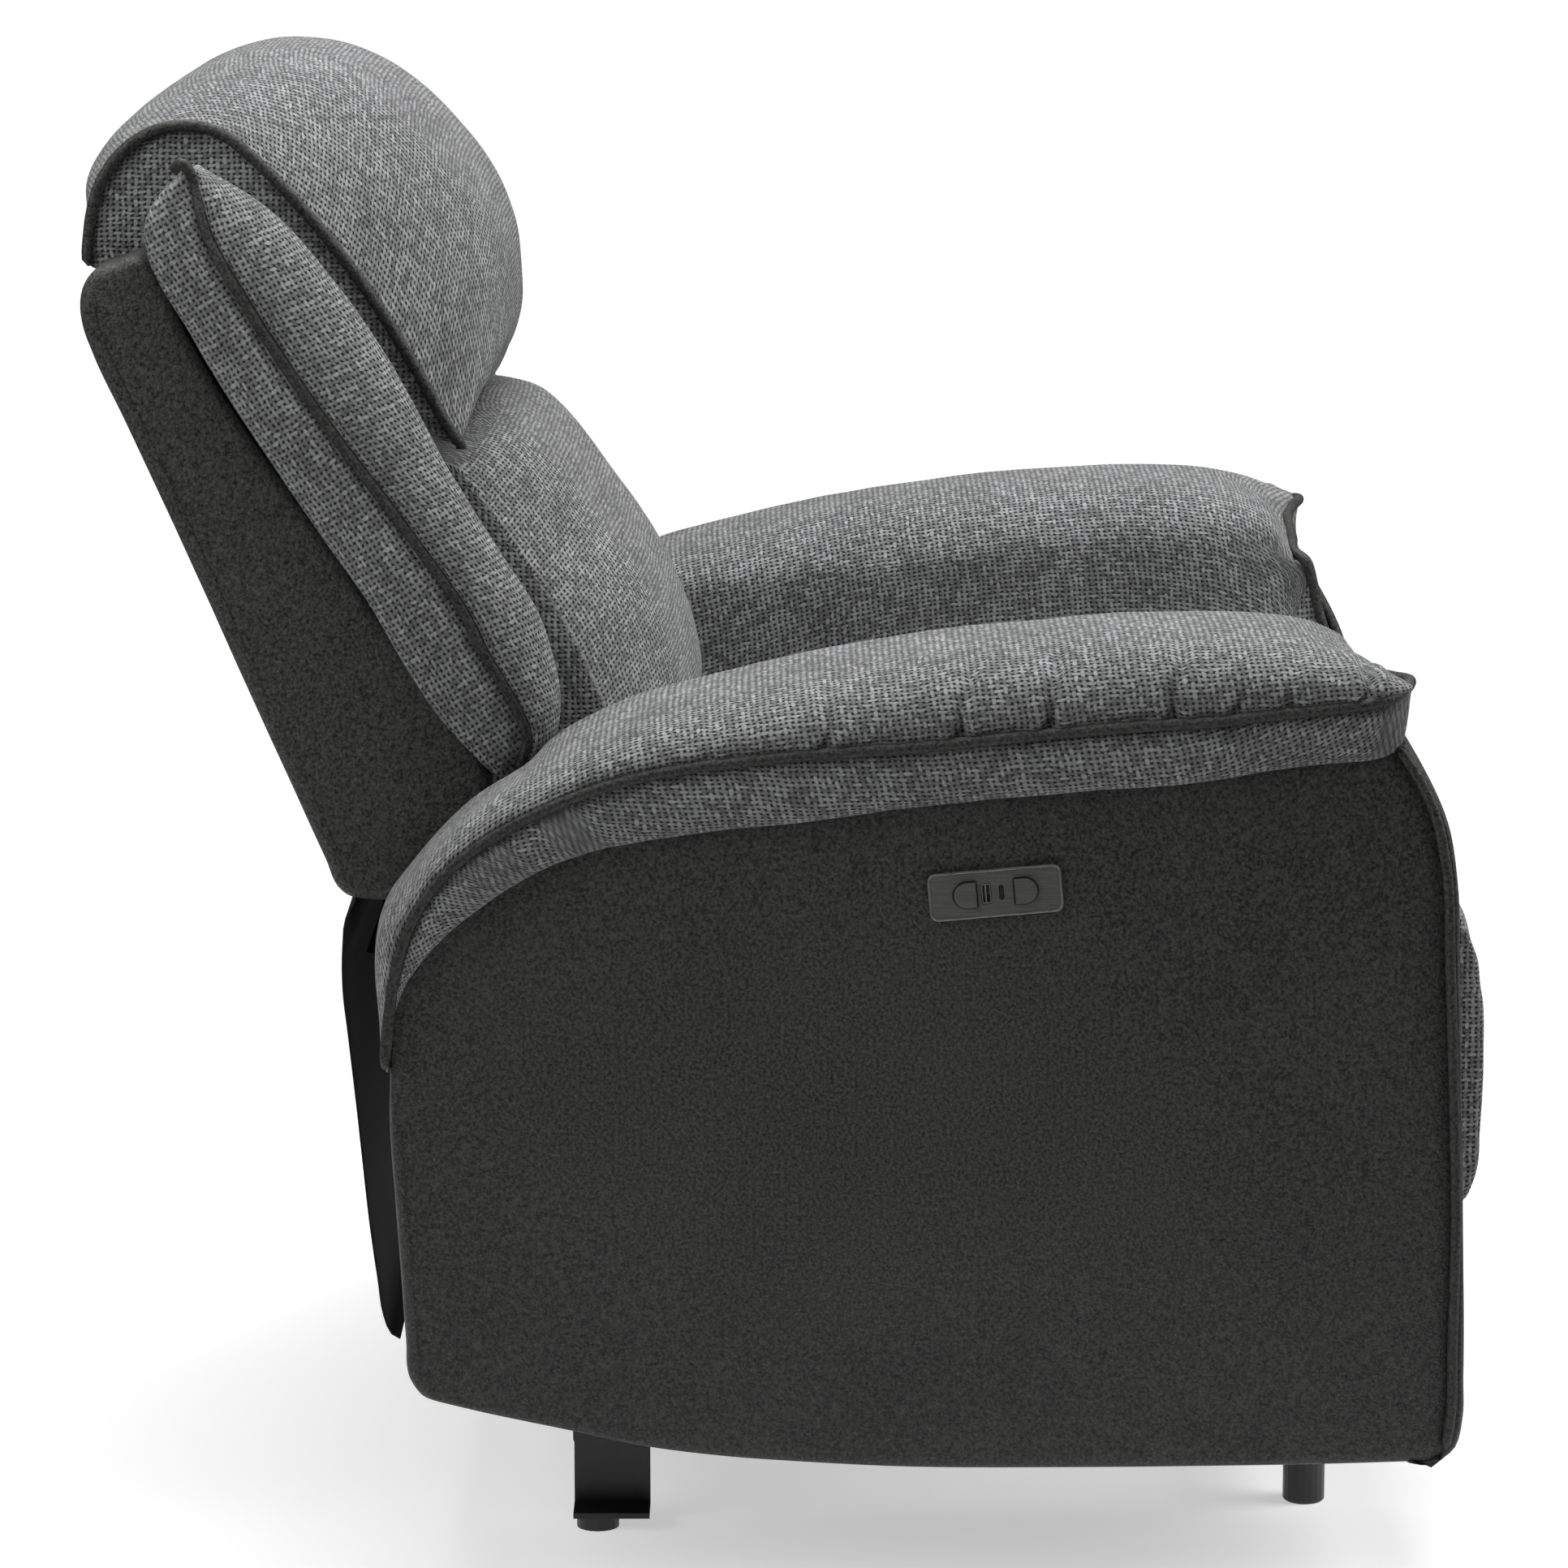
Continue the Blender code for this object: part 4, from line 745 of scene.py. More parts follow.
def armCoverPiece(side, label):
    d = armCover
    rows = d["rows"]
    v = crowded(rows, True, True, 1.35)
    u = crowded(d["sideColumns"], True, True, 1.5)
    top, bottom = smoothLine(coverTop, 0, bias=u), smoothLine(coverBottom, 0, bias=u)
    rear, front = smoothLine(coverRear, 0, bias=v), smoothLine(coverFrontPiping, 0, bias=v)
    nose = smoothLine(coverFrontSilhouette, 0, bias=v)
    patch = patchBetween(bottom, top, rear, front, u, v)
    across = np.linspace(0, 1, d["frontColumns"])
    columns = []
    # front panel, from the inner piping to the outer one
    for s in across:
        profile = (1 - abs(2 * s - 1) ** 4.5) ** (1 / 2.2)
        x = d["innerX"] + (d["outerX"] - d["innerX"]) * (0.5 - 0.5 * math.cos(math.pi * s))
        fz = front + (nose - front) * profile
        columns.append(np.stack([np.full(rows, side * x), -fz[:, 0], fz[:, 1]], axis=1))
    columns = columns[:-1]
    # side panel, from the front piping back, dipping a little where it is sewn
    runBack = np.concatenate([[0], np.cumsum(np.linalg.norm(np.diff(patch[rows // 2], axis=0), axis=1))])
    for j in range(d["sideColumns"] - 1, -1, -1):
        fromFront, fromRear = runBack[-1] - runBack[j], runBack[j]
        dip = 0.0030 * math.exp(-(fromFront / 0.007) ** 2)
        r = d["edge"]
        turn = 0.0 if fromRear > r else r - math.sqrt(max(0.0, r * r - (r - fromRear) ** 2))
        x = np.full(rows, d["outerX"]) - dip - turn
        low = patch[:, j, 1] - patch[0, j, 1]
        e = d["hemEdge"]
        x -= np.where(low < e, e - np.sqrt(np.maximum(0.0, e**2 - (e - low) ** 2)), 0.0)
        x += 0.0016 * np.sin(np.pi * v) * math.sin(math.pi * u[j])
        columns.append(np.stack([side * x, -patch[:, j, 0], patch[:, j, 1]], axis=1))
    # rear return
    start = columns[-1]
    for s in np.linspace(0, 1, d["rearColumns"])[1:]:
        inner = np.interp(start[:, 2], [0.345, 0.375], [d["lowInnerX"], d["backInnerX"]])
        x = np.abs(start[:, 0]) * (1 - s) + inner * s
        back = 0.0018 * math.sin(math.pi * min(1.0, s * 3))
        columns.append(np.stack([side * x, start[:, 1] + back, start[:, 2]], axis=1))
    grid = np.array(columns)
    # the hem turns in under the arm
    hem = []
    for depth, lift in ((0.016, 0.0015), (0.008, 0.0)):
        row = grid[:, 0].copy()
        inwards = np.zeros_like(row)
        nf, ns = d["frontColumns"] - 1, d["sideColumns"]
        inwards[:nf, 1] = depth
        inwards[nf:nf + ns, 0] = -side * depth
        inwards[nf + ns:, 1] = -depth
        row += inwards
        row[:, 2] += lift
        hem.append(row)
    grid = np.concatenate([np.array(hem).transpose(1, 0, 2), grid], axis=1)
    mesh = gridMesh(f"arm_cover_{label}", grid)
    obj = newObject(mesh.name, mesh, charcoalLeather)
    turnOutwards(obj, Vector((side * 0.37, -0.10, 0.33)))
    slackened(obj, d, side)
    withWall(obj, d["wall"])
    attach(obj, "seat")
    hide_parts(f"arm_cover_{label}")
    return np.stack([np.full(rows, side * (d["outerX"] + 0.0002)), -front[:, 0] - 0.0004, front[:, 1]], axis=1)


# An open sheet has no volume to tell its outside by, so its faces turn away from a point behind it
def turnOutwards(obj, inside):
    mesh = obj.data
    work = bmesh.new()
    work.from_mesh(mesh)
    bmesh.ops.recalc_face_normals(work, faces=work.faces)
    work.faces.ensure_lookup_table()
    facing = sum(f.calc_area() * f.normal.dot(f.calc_center_median() - inside) for f in work.faces)
    if facing < 0:
        bmesh.ops.reverse_faces(work, faces=work.faces)
    work.to_mesh(mesh)
    work.free()


armEdges = {label: armCoverPiece(side, label) for label, side in sides.items()}
print("arm covers made")


# Bolsters beside the back: a gusset, a sewn edge and a crowned pad
bolster = {"outerX": 0.3405, "innerX": 0.2685, "stations": 96, "around": 64, "pressure": 2.6, "cap": 0.0035,
           "slack": (0.0010, 0.070, 5.0), "fill": 0.7, "pipingRadius": 0.0040}
bolsterRearLine = [(-0.4060, 0.9600), (-0.424, 0.945), (-0.434, 0.922), (-0.431, 0.903), (-0.402, 0.849),
                   (-0.365, 0.788), (-0.3165, 0.7120), (-0.2799, 0.6574), (-0.2641, 0.6280), (-0.2507, 0.6055),
                   (-0.2357, 0.5795), (-0.2205, 0.5586), (-0.2036, 0.5439)]
bolsterSewnLine = [(-0.4020, 0.9635), (-0.3985, 0.948), (-0.393, 0.925), (-0.367, 0.875), (-0.313, 0.792),
                   (-0.252, 0.709), (-0.2175, 0.6581), (-0.2043, 0.6305), (-0.1941, 0.6132), (-0.1840, 0.5943),
                   (-0.1774, 0.5803), (-0.1765, 0.5650), (-0.1850, 0.5480)]
bolsterFrontLine = [(-0.3980, 0.9620), (-0.378, 0.951), (-0.355, 0.936), (-0.305, 0.880), (-0.261, 0.812),
                    (-0.228, 0.750), (-0.195, 0.695), (-0.1683, 0.6509), (-0.1599, 0.6247), (-0.1549, 0.5986),
                    (-0.1559, 0.5775), (-0.1600, 0.5620), (-0.1720, 0.5475)]


def bolsterPiece(side, label):
    d = bolster
    share = crowded(d["stations"], True, True, 1.45)
    rear, sewn, front = (smoothLine(line, 0, bias=share) for line in
                         (bolsterRearLine, bolsterSewnLine, bolsterFrontLine))
    rings, edge, tucked = [], [], []
    for n, (r, p, f) in enumerate(zip(rear, sewn, front)):
        deep = f - p
        size = min(1.0, np.linalg.norm(deep) / 0.035)
        end = min(1.0, 3.2 * min(share[n], 1 - share[n]) ** 0.6)
        outer, inner = d["outerX"] - 0.016 * (1 - end), d["innerX"] + 0.018 * (1 - end)
        width = outer - inner
        corners = [spot(side, outer - 0.036 * end, r - (p - r) * 0.02), spot(side, outer - 0.0085, r),
                   spot(side, outer + 0.0035 * size, between(r, p, 0.33)),
                   spot(side, outer + 0.0030 * size, between(r, p, 0.66)),
                   spot(side, outer - 0.0045, between(r, p, 0.985)),
                   spot(side, outer + 0.0010 * size, p + deep * 0.17), spot(side, outer, p + deep * 0.40),
                   spot(side, outer - width * 0.10, p + deep * 0.67), spot(side, outer - width * 0.27, p + deep * 0.90),
                   spot(side, outer - width * 0.48, f), spot(side, inner + width * 0.24, p + deep * 0.90),
                   spot(side, inner + width * 0.07, p + deep * 0.66), spot(side, inner, p + deep * 0.30),
                   spot(side, inner, between(r, p, 0.7)), spot(side, inner + 0.004, between(r, p, 0.15)),
                   spot(side, inner + width * 0.35, r)]
        ring = ringThrough(corners, 4, d["around"])
        tucked.append(n * d["around"] + int(np.argmin(np.linalg.norm(ring - np.array(corners[1]), axis=1))))
        rings.append(ring)
        edge.append(corners[4])
    mesh = skin(f"bolster_{label}", rings, 0, ((1, 0, 0), (0, 0, 1)), (0.001, 0.001), 5,
                plane=(d["around"] - 13, (0, -0.525, -0.851), (0, -0.851, 0.525)))
    obj = newObject(mesh.name, mesh, chenilleCloth)
    around, count = d["around"], len(rings)
    sewnPoints = [i * around for i in range(count)] + tucked
    ends = list(range(0, 3 * around)) + list(range((count - 3) * around, len(mesh.vertices)))
    inflate(obj, set(sewnPoints) | set(ends), d["pressure"], d["cap"])
    return obj, np.array(edge)


bolsters = {label: bolsterPiece(side, label) for label, side in sides.items()}


# Pieces drawn in side view and carried across the chair: their outline changes from the middle to the ends
def crossPiece(name, d, middle, ends):
    around, columns = d["around"], d["columns"]
    full, small = smoothLine(middle, around, True), smoothLine(ends, around, True)
    across = d["halfWidth"] * (2 * crowded(columns, True, True, 1.5) - 1)
    rings = []
    for x in across:
        share = (abs(x) / d["halfWidth"]) ** d["fall"]
        ring = full * (1 - share) + small * share
        rings.append(np.stack([np.full(around, x), -ring[:, 0], ring[:, 1]], axis=1))
    mesh = skin(name, rings, 0, ((0, -1, 0), (0, 0, 1)), (d["dome"], d["dome"]))
    obj = newObject(name, mesh, chenilleCloth)
    inflate(obj, list(range(around)) + list(range((columns - 1) * around, columns * around)), d["pressure"], d["cap"])
    return obj, np.array(rings)


headPillow = {"halfWidth": 0.2625, "columns": 60, "around": 150, "fall": 3.4, "dome": 0.006, "pressure": 2.2,
              "cap": 0.0035, "slack": (0.0016, 0.085, 8.0), "fill": 0.75, "pipingRadius": 0.0042}
headMiddle = [(-0.479, 0.893), (-0.492, 0.921), (-0.497, 0.938), (-0.483, 0.966), (-0.453, 0.991), (-0.413, 1.0165),
              (-0.385, 1.0255), (-0.358, 1.0275), (-0.330, 1.0250), (-0.303, 1.0155), (-0.270, 0.9960),
              (-0.241, 0.968), (-0.222, 0.944), (-0.207, 0.916), (-0.1985, 0.890), (-0.195, 0.863),
              (-0.1965, 0.821), (-0.203, 0.799), (-0.218, 0.783), (-0.245, 0.777), (-0.285, 0.786),
              (-0.345, 0.806), (-0.394, 0.864), (-0.428, 0.909)]
headEnd = [(-0.4800, 0.8905), (-0.4795, 0.915), (-0.4765, 0.932), (-0.4700, 0.950), (-0.4560, 0.969),
           (-0.4350, 0.983), (-0.4180, 0.987), (-0.4000, 0.986), (-0.3830, 0.979), (-0.3660, 0.965),
           (-0.3440, 0.943), (-0.3170, 0.912), (-0.3000, 0.890), (-0.2840, 0.867), (-0.2660, 0.838),
           (-0.2490, 0.808), (-0.2340, 0.780), (-0.2260, 0.768), (-0.2240, 0.764), (-0.2400, 0.770),
           (-0.2800, 0.788), (-0.3450, 0.816), (-0.3920, 0.868), (-0.4280, 0.906)]
headPiece, headRings = crossPiece("head_pillow", headPillow, headMiddle, headEnd)

lumbar = {"halfWidth": 0.2365, "columns": 54, "around": 110, "fall": 3.6, "dome": 0.004, "pressure": 2.4,
          "cap": 0.004, "slack": (0.0016, 0.090, 11.0), "fill": 0.7}
lumbarMiddle = [(-0.205, 0.768), (-0.183, 0.764), (-0.161, 0.746), (-0.132, 0.707), (-0.102, 0.667), (-0.079, 0.622),
                (-0.066, 0.585), (-0.063, 0.550), (-0.076, 0.519), (-0.110, 0.509), (-0.170, 0.510), (-0.235, 0.514),
                (-0.262, 0.560), (-0.300, 0.640), (-0.335, 0.720), (-0.343, 0.758), (-0.262, 0.762)]
lumbarEnd = [(-0.228, 0.745), (-0.212, 0.726), (-0.188, 0.690), (-0.163, 0.653), (-0.146, 0.622), (-0.131, 0.588),
             (-0.122, 0.562), (-0.118, 0.540), (-0.126, 0.524), (-0.150, 0.516), (-0.190, 0.514), (-0.235, 0.517),
             (-0.262, 0.562), (-0.300, 0.640), (-0.332, 0.715), (-0.336, 0.745), (-0.285, 0.752)]
lumbarPiece, _ = crossPiece("lumbar_cushion", lumbar, lumbarMiddle, lumbarEnd)

footrestPad = {"halfWidth": 0.2705, "columns": 56, "around": 84, "fall": 12.0, "dome": 0.0020, "pressure": 2.2,
               "cap": 0.0025, "slack": (0.0010, 0.090, 14.0), "fill": 0.6}
padMiddle = [(0.4350, 0.300), (0.4350, 0.2245), (0.452, 0.2195), (0.470, 0.2180), (0.4850, 0.2215), (0.4935, 0.239),
             (0.4970, 0.280), (0.4980, 0.328), (0.4965, 0.375), (0.4890, 0.414), (0.477, 0.438), (0.457, 0.4475),
             (0.4360, 0.4490), (0.4220, 0.4480), (0.4182, 0.4450), (0.4200, 0.4412), (0.4330, 0.4408),
             (0.4350, 0.4350), (0.4350, 0.380)]
padEnd = [(0.4350, 0.300), (0.4350, 0.2265), (0.451, 0.2225), (0.468, 0.2215), (0.4815, 0.2255), (0.4895, 0.242),
          (0.4930, 0.282), (0.4940, 0.328), (0.4925, 0.373), (0.4850, 0.410), (0.473, 0.434), (0.455, 0.4450),
          (0.4360, 0.4475), (0.4225, 0.4470), (0.4190, 0.4445), (0.4205, 0.4412), (0.4330, 0.4408),
          (0.4350, 0.4350), (0.4350, 0.380)]
padPiece, _ = crossPiece("footrest_pad", footrestPad, padMiddle, padEnd)

seatCushion = {"halfWidth": 0.2700, "columns": 60, "around": 150, "fall": 4.2, "dome": 0.0015, "pressure": 2.4,
               "cap": 0.005, "slack": (0.0018, 0.110, 17.0), "fill": 0.6}
seatMiddle = [(-0.124, 0.450), (-0.118, 0.4385), (-0.060, 0.4372), (0.100, 0.4372), (0.300, 0.4372), (0.390, 0.4330),
              (0.406, 0.4335), (0.4125, 0.4440), (0.4150, 0.4525), (0.430, 0.4525), (0.4440, 0.4545),
              (0.4515, 0.4640), (0.4530, 0.4780), (0.4470, 0.4930), (0.4300, 0.5035), (0.360, 0.5095),
              (0.200, 0.5110), (0.000, 0.5080), (-0.100, 0.500), (-0.120, 0.486)]
seatEnd = [(-0.122, 0.450), (-0.115, 0.4400), (-0.060, 0.4385), (0.100, 0.4385), (0.300, 0.4385), (0.390, 0.4335),
           (0.405, 0.4340), (0.4115, 0.4440), (0.4140, 0.4530), (0.425, 0.4540), (0.4360, 0.4560), (0.4430, 0.4640),
           (0.4440, 0.4740), (0.4390, 0.4850), (0.4240, 0.4920), (0.360, 0.4950), (0.200, 0.4960), (0.000, 0.4950),
           (-0.098, 0.490), (-0.116, 0.480)]
seatPiece, _ = crossPiece("seat_cushion", seatCushion, seatMiddle, seatEnd)
runCloth()


# Each cushion: one subdivision and its slack, then its body, and the imported part it replaces hidden
def finishSoft(obj, d, body, node, side=0):
    subdivided(obj)
    slackened(obj, d, side)
    obj.data.shade_smooth()
    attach(obj, body)
    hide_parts(node)


def trim(obj, body):
    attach(obj, body)
    return obj


innerCornerLine = [(0.4120, 0.603), (0.4175, 0.585), (0.4225, 0.562), (0.4300, 0.540), (0.4400, 0.513), (0.4460, 0.435),
                   (0.4520, 0.267), (0.4520, 0.125), (0.4470, 0.097)]
for label, side in sides.items():
    pillow, edge, overFront = armPillows[label]
    subdivided(pillow)
    setPoints(pillow.data, recede(meshPoints(pillow.data)))
    gathered(pillow, edge, side)
    slackened(pillow, armPillow, side)
    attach(pillow, "seat")
    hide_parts(f"arm_pillow_{label}")
    # one piping: the outer sewn edge, round the front, and down the inner front corner
    outside = edge[(-edge[:, 1]) < 0.402].copy()
    outside[:, 0] += side * 0.0032
    over = recede(overFront)
    over[:, 1] -= 0.0026
    over[:, 2] -= 0.0004
    over = over[over[:, 2] > 0.6060]
    down = np.array([(side * armPillow["pipingInnerX"], -f, h) for f, h in innerCornerLine])
    line = np.concatenate([outside[::6], over[5::5], down])
    trim(piping(f"arm_pillow_piping_{label}", smoothLine(line, 460), armPillow["pipingRadius"], pipingLeather,
                taper=0.006), "seat")
    trim(piping(f"arm_front_piping_{label}", smoothLine(armEdges[label][3:], 120), armCover["pipingRadius"],
                pipingLeather, taper=0.01), "seat")

# Inner arm panels: padded cloth from the pillow down to the seat
innerPanel = {"face": 0.2788, "columns": 70, "rows": 46, "wall": 0.004, "slack": (0.0006, 0.09, 6.0)}
panelTop = [(-0.147, 0.520), (-0.100, 0.536), (0.018, 0.553), (0.200, 0.566), (0.380, 0.584), (0.4175, 0.590)]
panelBottom = [(-0.241, 0.149), (-0.092, 0.114), (0.130, 0.102), (0.300, 0.103), (0.4525, 0.1065)]
panelRear = [(-0.241, 0.149), (-0.247, 0.300), (-0.243, 0.383), (-0.151, 0.388), (-0.1480, 0.430), (-0.147, 0.520)]
panelFront = [(0.4525, 0.1065), (0.4505, 0.267), (0.4445, 0.435), (0.438, 0.513), (0.4265, 0.562), (0.4175, 0.590)]
for label, side in sides.items():
    d = innerPanel
    u, v = crowded(d["columns"], True, True, 1.3), crowded(d["rows"], True, True, 1.3)
    bottom, top = smoothLine(panelBottom, 0, bias=u), smoothLine(panelTop, 0, bias=u)
    patch = patchBetween(bottom, top, smoothLine(panelRear, 0, bias=v), smoothLine(panelFront, 0, bias=v), u, v)
    puff = np.minimum(1, np.minimum(u, 1 - u) * 14)[None] * np.minimum(1, np.minimum(v, 1 - v) * 9)[:, None]
    x = side * (d["face"] + 0.0035 - 0.0040 * np.sqrt(puff))
    grid = np.stack([x, -patch[..., 0], patch[..., 1]], axis=2)
    panel = newObject(f"arm_inner_panel_{label}", gridMesh(f"arm_inner_panel_{label}", grid), chenilleCloth)
    turnOutwards(panel, Vector((side * 0.40, -0.1, 0.33)))
    slackened(panel, d)
    withWall(panel, d["wall"])
    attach(panel, "seat")
    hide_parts(f"arm_inner_panel_{label}")

for label, side in sides.items():
    pad, edge = bolsters[label]
    finishSoft(pad, bolster, "back", f"bolster_{label}", side)
    edge = edge.copy()
    edge[:, 0] += side * 0.0022
    top = np.array([(side * 0.322, 0.4150, 0.9610), (side * 0.332, 0.4080, 0.9665)])
    trim(piping(f"bolster_piping_{label}", smoothLine(np.concatenate([top, edge[5::5]]), 240),
                bolster["pipingRadius"], pipingLeather, taper=0.008), "back")

finishSoft(headPiece, headPillow, "back", "head_pillow")
for label, side in sides.items():
    ring = headRings[0 if side < 0 else -1].copy()
    ring = ring[:int(np.argmin(ring[:, 1] + (ring[:, 2] > 0.80) * 1.0)) + 2]
    ring[:, 0] += side * 0.0012
    trim(piping(f"head_pillow_piping_{label}", ring, headPillow["pipingRadius"], pipingLeather, taper=0.012), "back")
finishSoft(lumbarPiece, lumbar, "back", "lumbar_cushion")
finishSoft(padPiece, footrestPad, "footrest", "footrest_pad")
finishSoft(seatPiece, seatCushion, "seat", "seat_cushion")
print("cushions and piping made")

# Back shell
shell = {"halfWidth": 0.3325, "columns": 70, "around": 260, "edge": 0.009, "bow": 0.0015,
         "slack": (0.0007, 0.14, 21.0), "stitchInset": 0.0115}
shellOutline = [(-0.215, 0.4585), (-0.250, 0.4575), (-0.292, 0.4572), (-0.302, 0.4590), (-0.3085, 0.4640),
                (-0.318, 0.485), (-0.345, 0.5480), (-0.372, 0.610), (-0.426, 0.734), (-0.452, 0.7925),
                (-0.472, 0.8370), (-0.4785, 0.8560), (-0.480, 0.871), (-0.4775, 0.8830), (-0.471, 0.8925),
                (-0.455, 0.8985), (-0.4395, 0.9030), (-0.431, 0.8960), (-0.406, 0.847), (-0.369, 0.786),
                (-0.314, 0.708), (-0.260, 0.629), (-0.227, 0.584), (-0.206, 0.550), (-0.2055, 0.500), (-0.208, 0.470)]


def shellPiece():
    d = shell
    outline = smoothLine(shellOutline, d["around"], True)
    tangent = np.roll(outline, -1, axis=0) - np.roll(outline, 1, axis=0)
    tangent /= np.linalg.norm(tangent, axis=1)[:, None]
    inwards = np.stack([tangent[:, 1], -tangent[:, 0]], axis=1)
    middle = outline.mean(axis=0)
    if ((middle - outline) * inwards).sum() < 0:
        inwards = -inwards
    e = d["edge"]
    turn = np.linspace(0, math.pi / 2, 7)
    offsets = [(d["halfWidth"] - e + e * math.sin(t), e * (1 - math.cos(t))) for t in turn]
    across = [(-x, o) for x, o in reversed(offsets)]
    across += [(x, 0.0) for x in np.linspace(-(d["halfWidth"] - e), d["halfWidth"] - e, d["columns"])[1:-1]]
    across += offsets
    rings = []
    for x, o in across:
        bow = d["bow"] * (1 - (x / d["halfWidth"]) ** 2)
        ring = outline + inwards * o - inwards * bow
        rings.append(np.stack([np.full(len(ring), x), -ring[:, 0], ring[:, 1]], axis=1))
    mesh = skin("back_shell", rings, 0, ((0, -1, 0), (0, 0, 1)), flatEnds=True)
    obj = newObject("back_shell", mesh, paintedLitBackLeather)
    slackened(obj, d)
    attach(obj, "back")
    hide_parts("back_shell")
    return outline, inwards


shellLine, shellInwards = shellPiece()
print("back shell made")


# Stitches: short threads set end to end along a seam, built as a node tree
def stitchTree():
    tree = bpy.data.node_groups.new("stitches", "GeometryNodeTree")
    tree.interface.new_socket("Seam", in_out="INPUT", socket_type="NodeSocketGeometry")
    for name in ("Spacing", "Length", "Thickness"):
        tree.interface.new_socket(name, in_out="INPUT", socket_type="NodeSocketFloat")
    tree.interface.new_socket("Thread", in_out="INPUT", socket_type="NodeSocketMaterial")
    tree.interface.new_socket("Stitches", in_out="OUTPUT", socket_type="NodeSocketGeometry")
    given = tree.nodes.new("NodeGroupInput").outputs
    curve = put(tree, "GeometryNodeMeshToCurve", {0: given["Seam"]}).outputs[0]
    spaced = put(tree, "GeometryNodeResampleCurve", {"Curve": curve, "Length": given["Spacing"]}, mode="LENGTH")
    thread = put(tree, "GeometryNodeMeshUVSphere", {"Segments": 8, "Rings": 6, "Radius": 0.5}).outputs["Mesh"]
    size = put(tree, "ShaderNodeCombineXYZ", {0: given["Length"], 1: given["Thickness"], 2: given["Thickness"]})
    along = put(tree, "FunctionNodeAlignRotationToVector",
                {"Vector": put(tree, "GeometryNodeInputTangent").outputs[0]}, axis="X").outputs[0]
    placed = put(tree, "GeometryNodeInstanceOnPoints", {"Points": spaced.outputs[0], "Instance": thread,
                                                        "Rotation": along, "Scale": size.outputs[0]})
    solid = put(tree, "GeometryNodeRealizeInstances", {0: placed.outputs[0]}).outputs[0]
    finished = put(tree, "GeometryNodeSetMaterial", {"Geometry": solid, "Material": given["Thread"]}).outputs[0]
    tree.links.new(finished, tree.nodes.new("NodeGroupOutput").inputs[0])
    return tree


stitchNodes = stitchTree()
stitch = {"Spacing": 0.0046, "Length": 0.0034, "Thickness": 0.0009}


def stitched(name, seams, body):
    points, edges = [], []
    for line in seams:
        edges += [(len(points) + i, len(points) + i + 1) for i in range(len(line) - 1)]
        points += [tuple(p) for p in line]
    mesh = bpy.data.meshes.new(name)
    mesh.from_pydata(points, edges, [])
    obj = newObject(name, mesh)
    made = obj.modifiers.new("stitches", "NODES")
    made.node_group = stitchNodes
    for socket in stitchNodes.interface.items_tree:
        if socket.in_out == "INPUT" and socket.name in stitch:
            made[socket.identifier] = stitch[socket.name]
        elif socket.in_out == "INPUT" and socket.name == "Thread":
            made[socket.identifier] = threadFinish
    applied(obj)
    obj.data.shade_smooth()
    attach(obj, body)


seams = []
for side in sides.values():
    inset = shellLine + shellInwards * shell["stitchInset"]
    rear = inset[(shellLine[:, 0] < -0.318) & (shellLine[:, 1] < 0.872) & (shellLine[:, 1] > 0.475)]
    rear = rear[rear[:, 0] < np.interp(rear[:, 1], [0.475, 0.60, 0.75, 0.872], [-0.29, -0.335, -0.40, -0.455])]
    rear = rear[np.argsort(rear[:, 1])]
    seams.append([(side * (shell["halfWidth"] + 0.0001), -f, h) for f, h in rear])
stitched("back_shell_stitches", seams, "back")
seams = []
for side in sides.values():
    rear = smoothLine([(f + 0.0075, h) for f, h in coverRear[1:-1]], 60)
    seams.append([(side * (armCover["outerX"] + 0.0004), -f, h) for f, h in rear])
stitched("arm_cover_stitches", seams, "seat")
print("stitches made")

# The control plate's raised rim, and black tubes round its buttons as painted shade for the shadowed gaps round them
control = {"centre": (0.1415, 0.4915), "tilt": math.radians(5.0), "size": (0.0880, 0.0310), "corner": 0.0050,
           "rim": 0.0009, "line": 0.00075, "button": (0.0150, 0.0170), "gap": 0.0012, "offset": 0.0205}
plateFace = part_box("control_plate")[0][0]


def onPlate(points, lift):
    c, t = control["centre"], control["tilt"]
    return [(plateFace - lift, -(c[0] + a * math.cos(t) - b * math.sin(t)), c[1] + a * math.sin(t) + b * math.cos(t))
            for a, b in points]


wide, tall, corner = control["size"][0] / 2, control["size"][1] / 2, control["corner"]
rimLine = []
for n, (sx, sy) in enumerate(((1, 1), (-1, 1), (-1, -1), (1, -1))):
    for i in range(9):
        t = math.pi / 2 * (n + i / 8)
        rimLine.append((sx * (wide - corner) + corner * math.cos(t), sy * (tall - corner) + corner * math.sin(t)))
rim = piping("control_plate_rim", onPlate(rimLine, -0.0004), control["rim"], brightEdge, True)
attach(rim, "seat")
for name, way in (("close", -1), ("open", 1)):
    w, h = (length + control["gap"] for length in control["button"])
    flat = way * (control["offset"] - w / 2)
    arc = way * (control["offset"] + w / 2 - h / 2)
    outline = [(flat, y) for y in np.linspace(-h / 2 + 0.0008, h / 2 - 0.0008, 12)]
    outline += [(flat + (arc - flat) * k / 8, h / 2) for k in range(1, 8)]
    outline += [(arc + way * h / 2 * math.cos(t), h / 2 * math.sin(t))
                for t in np.linspace(math.pi / 2, -math.pi / 2, 22)]
    outline += [(flat + (arc - flat) * k / 8, -h / 2) for k in range(7, 0, -1)]
    # a black tube in the gap round each button: painted shade for the shadowed groove
    line = piping(f"button_gap_shade_{name}", onPlate(outline, -0.0003), control["line"], blackPlastic, True)
    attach(line, "seat")
print("control plate made")

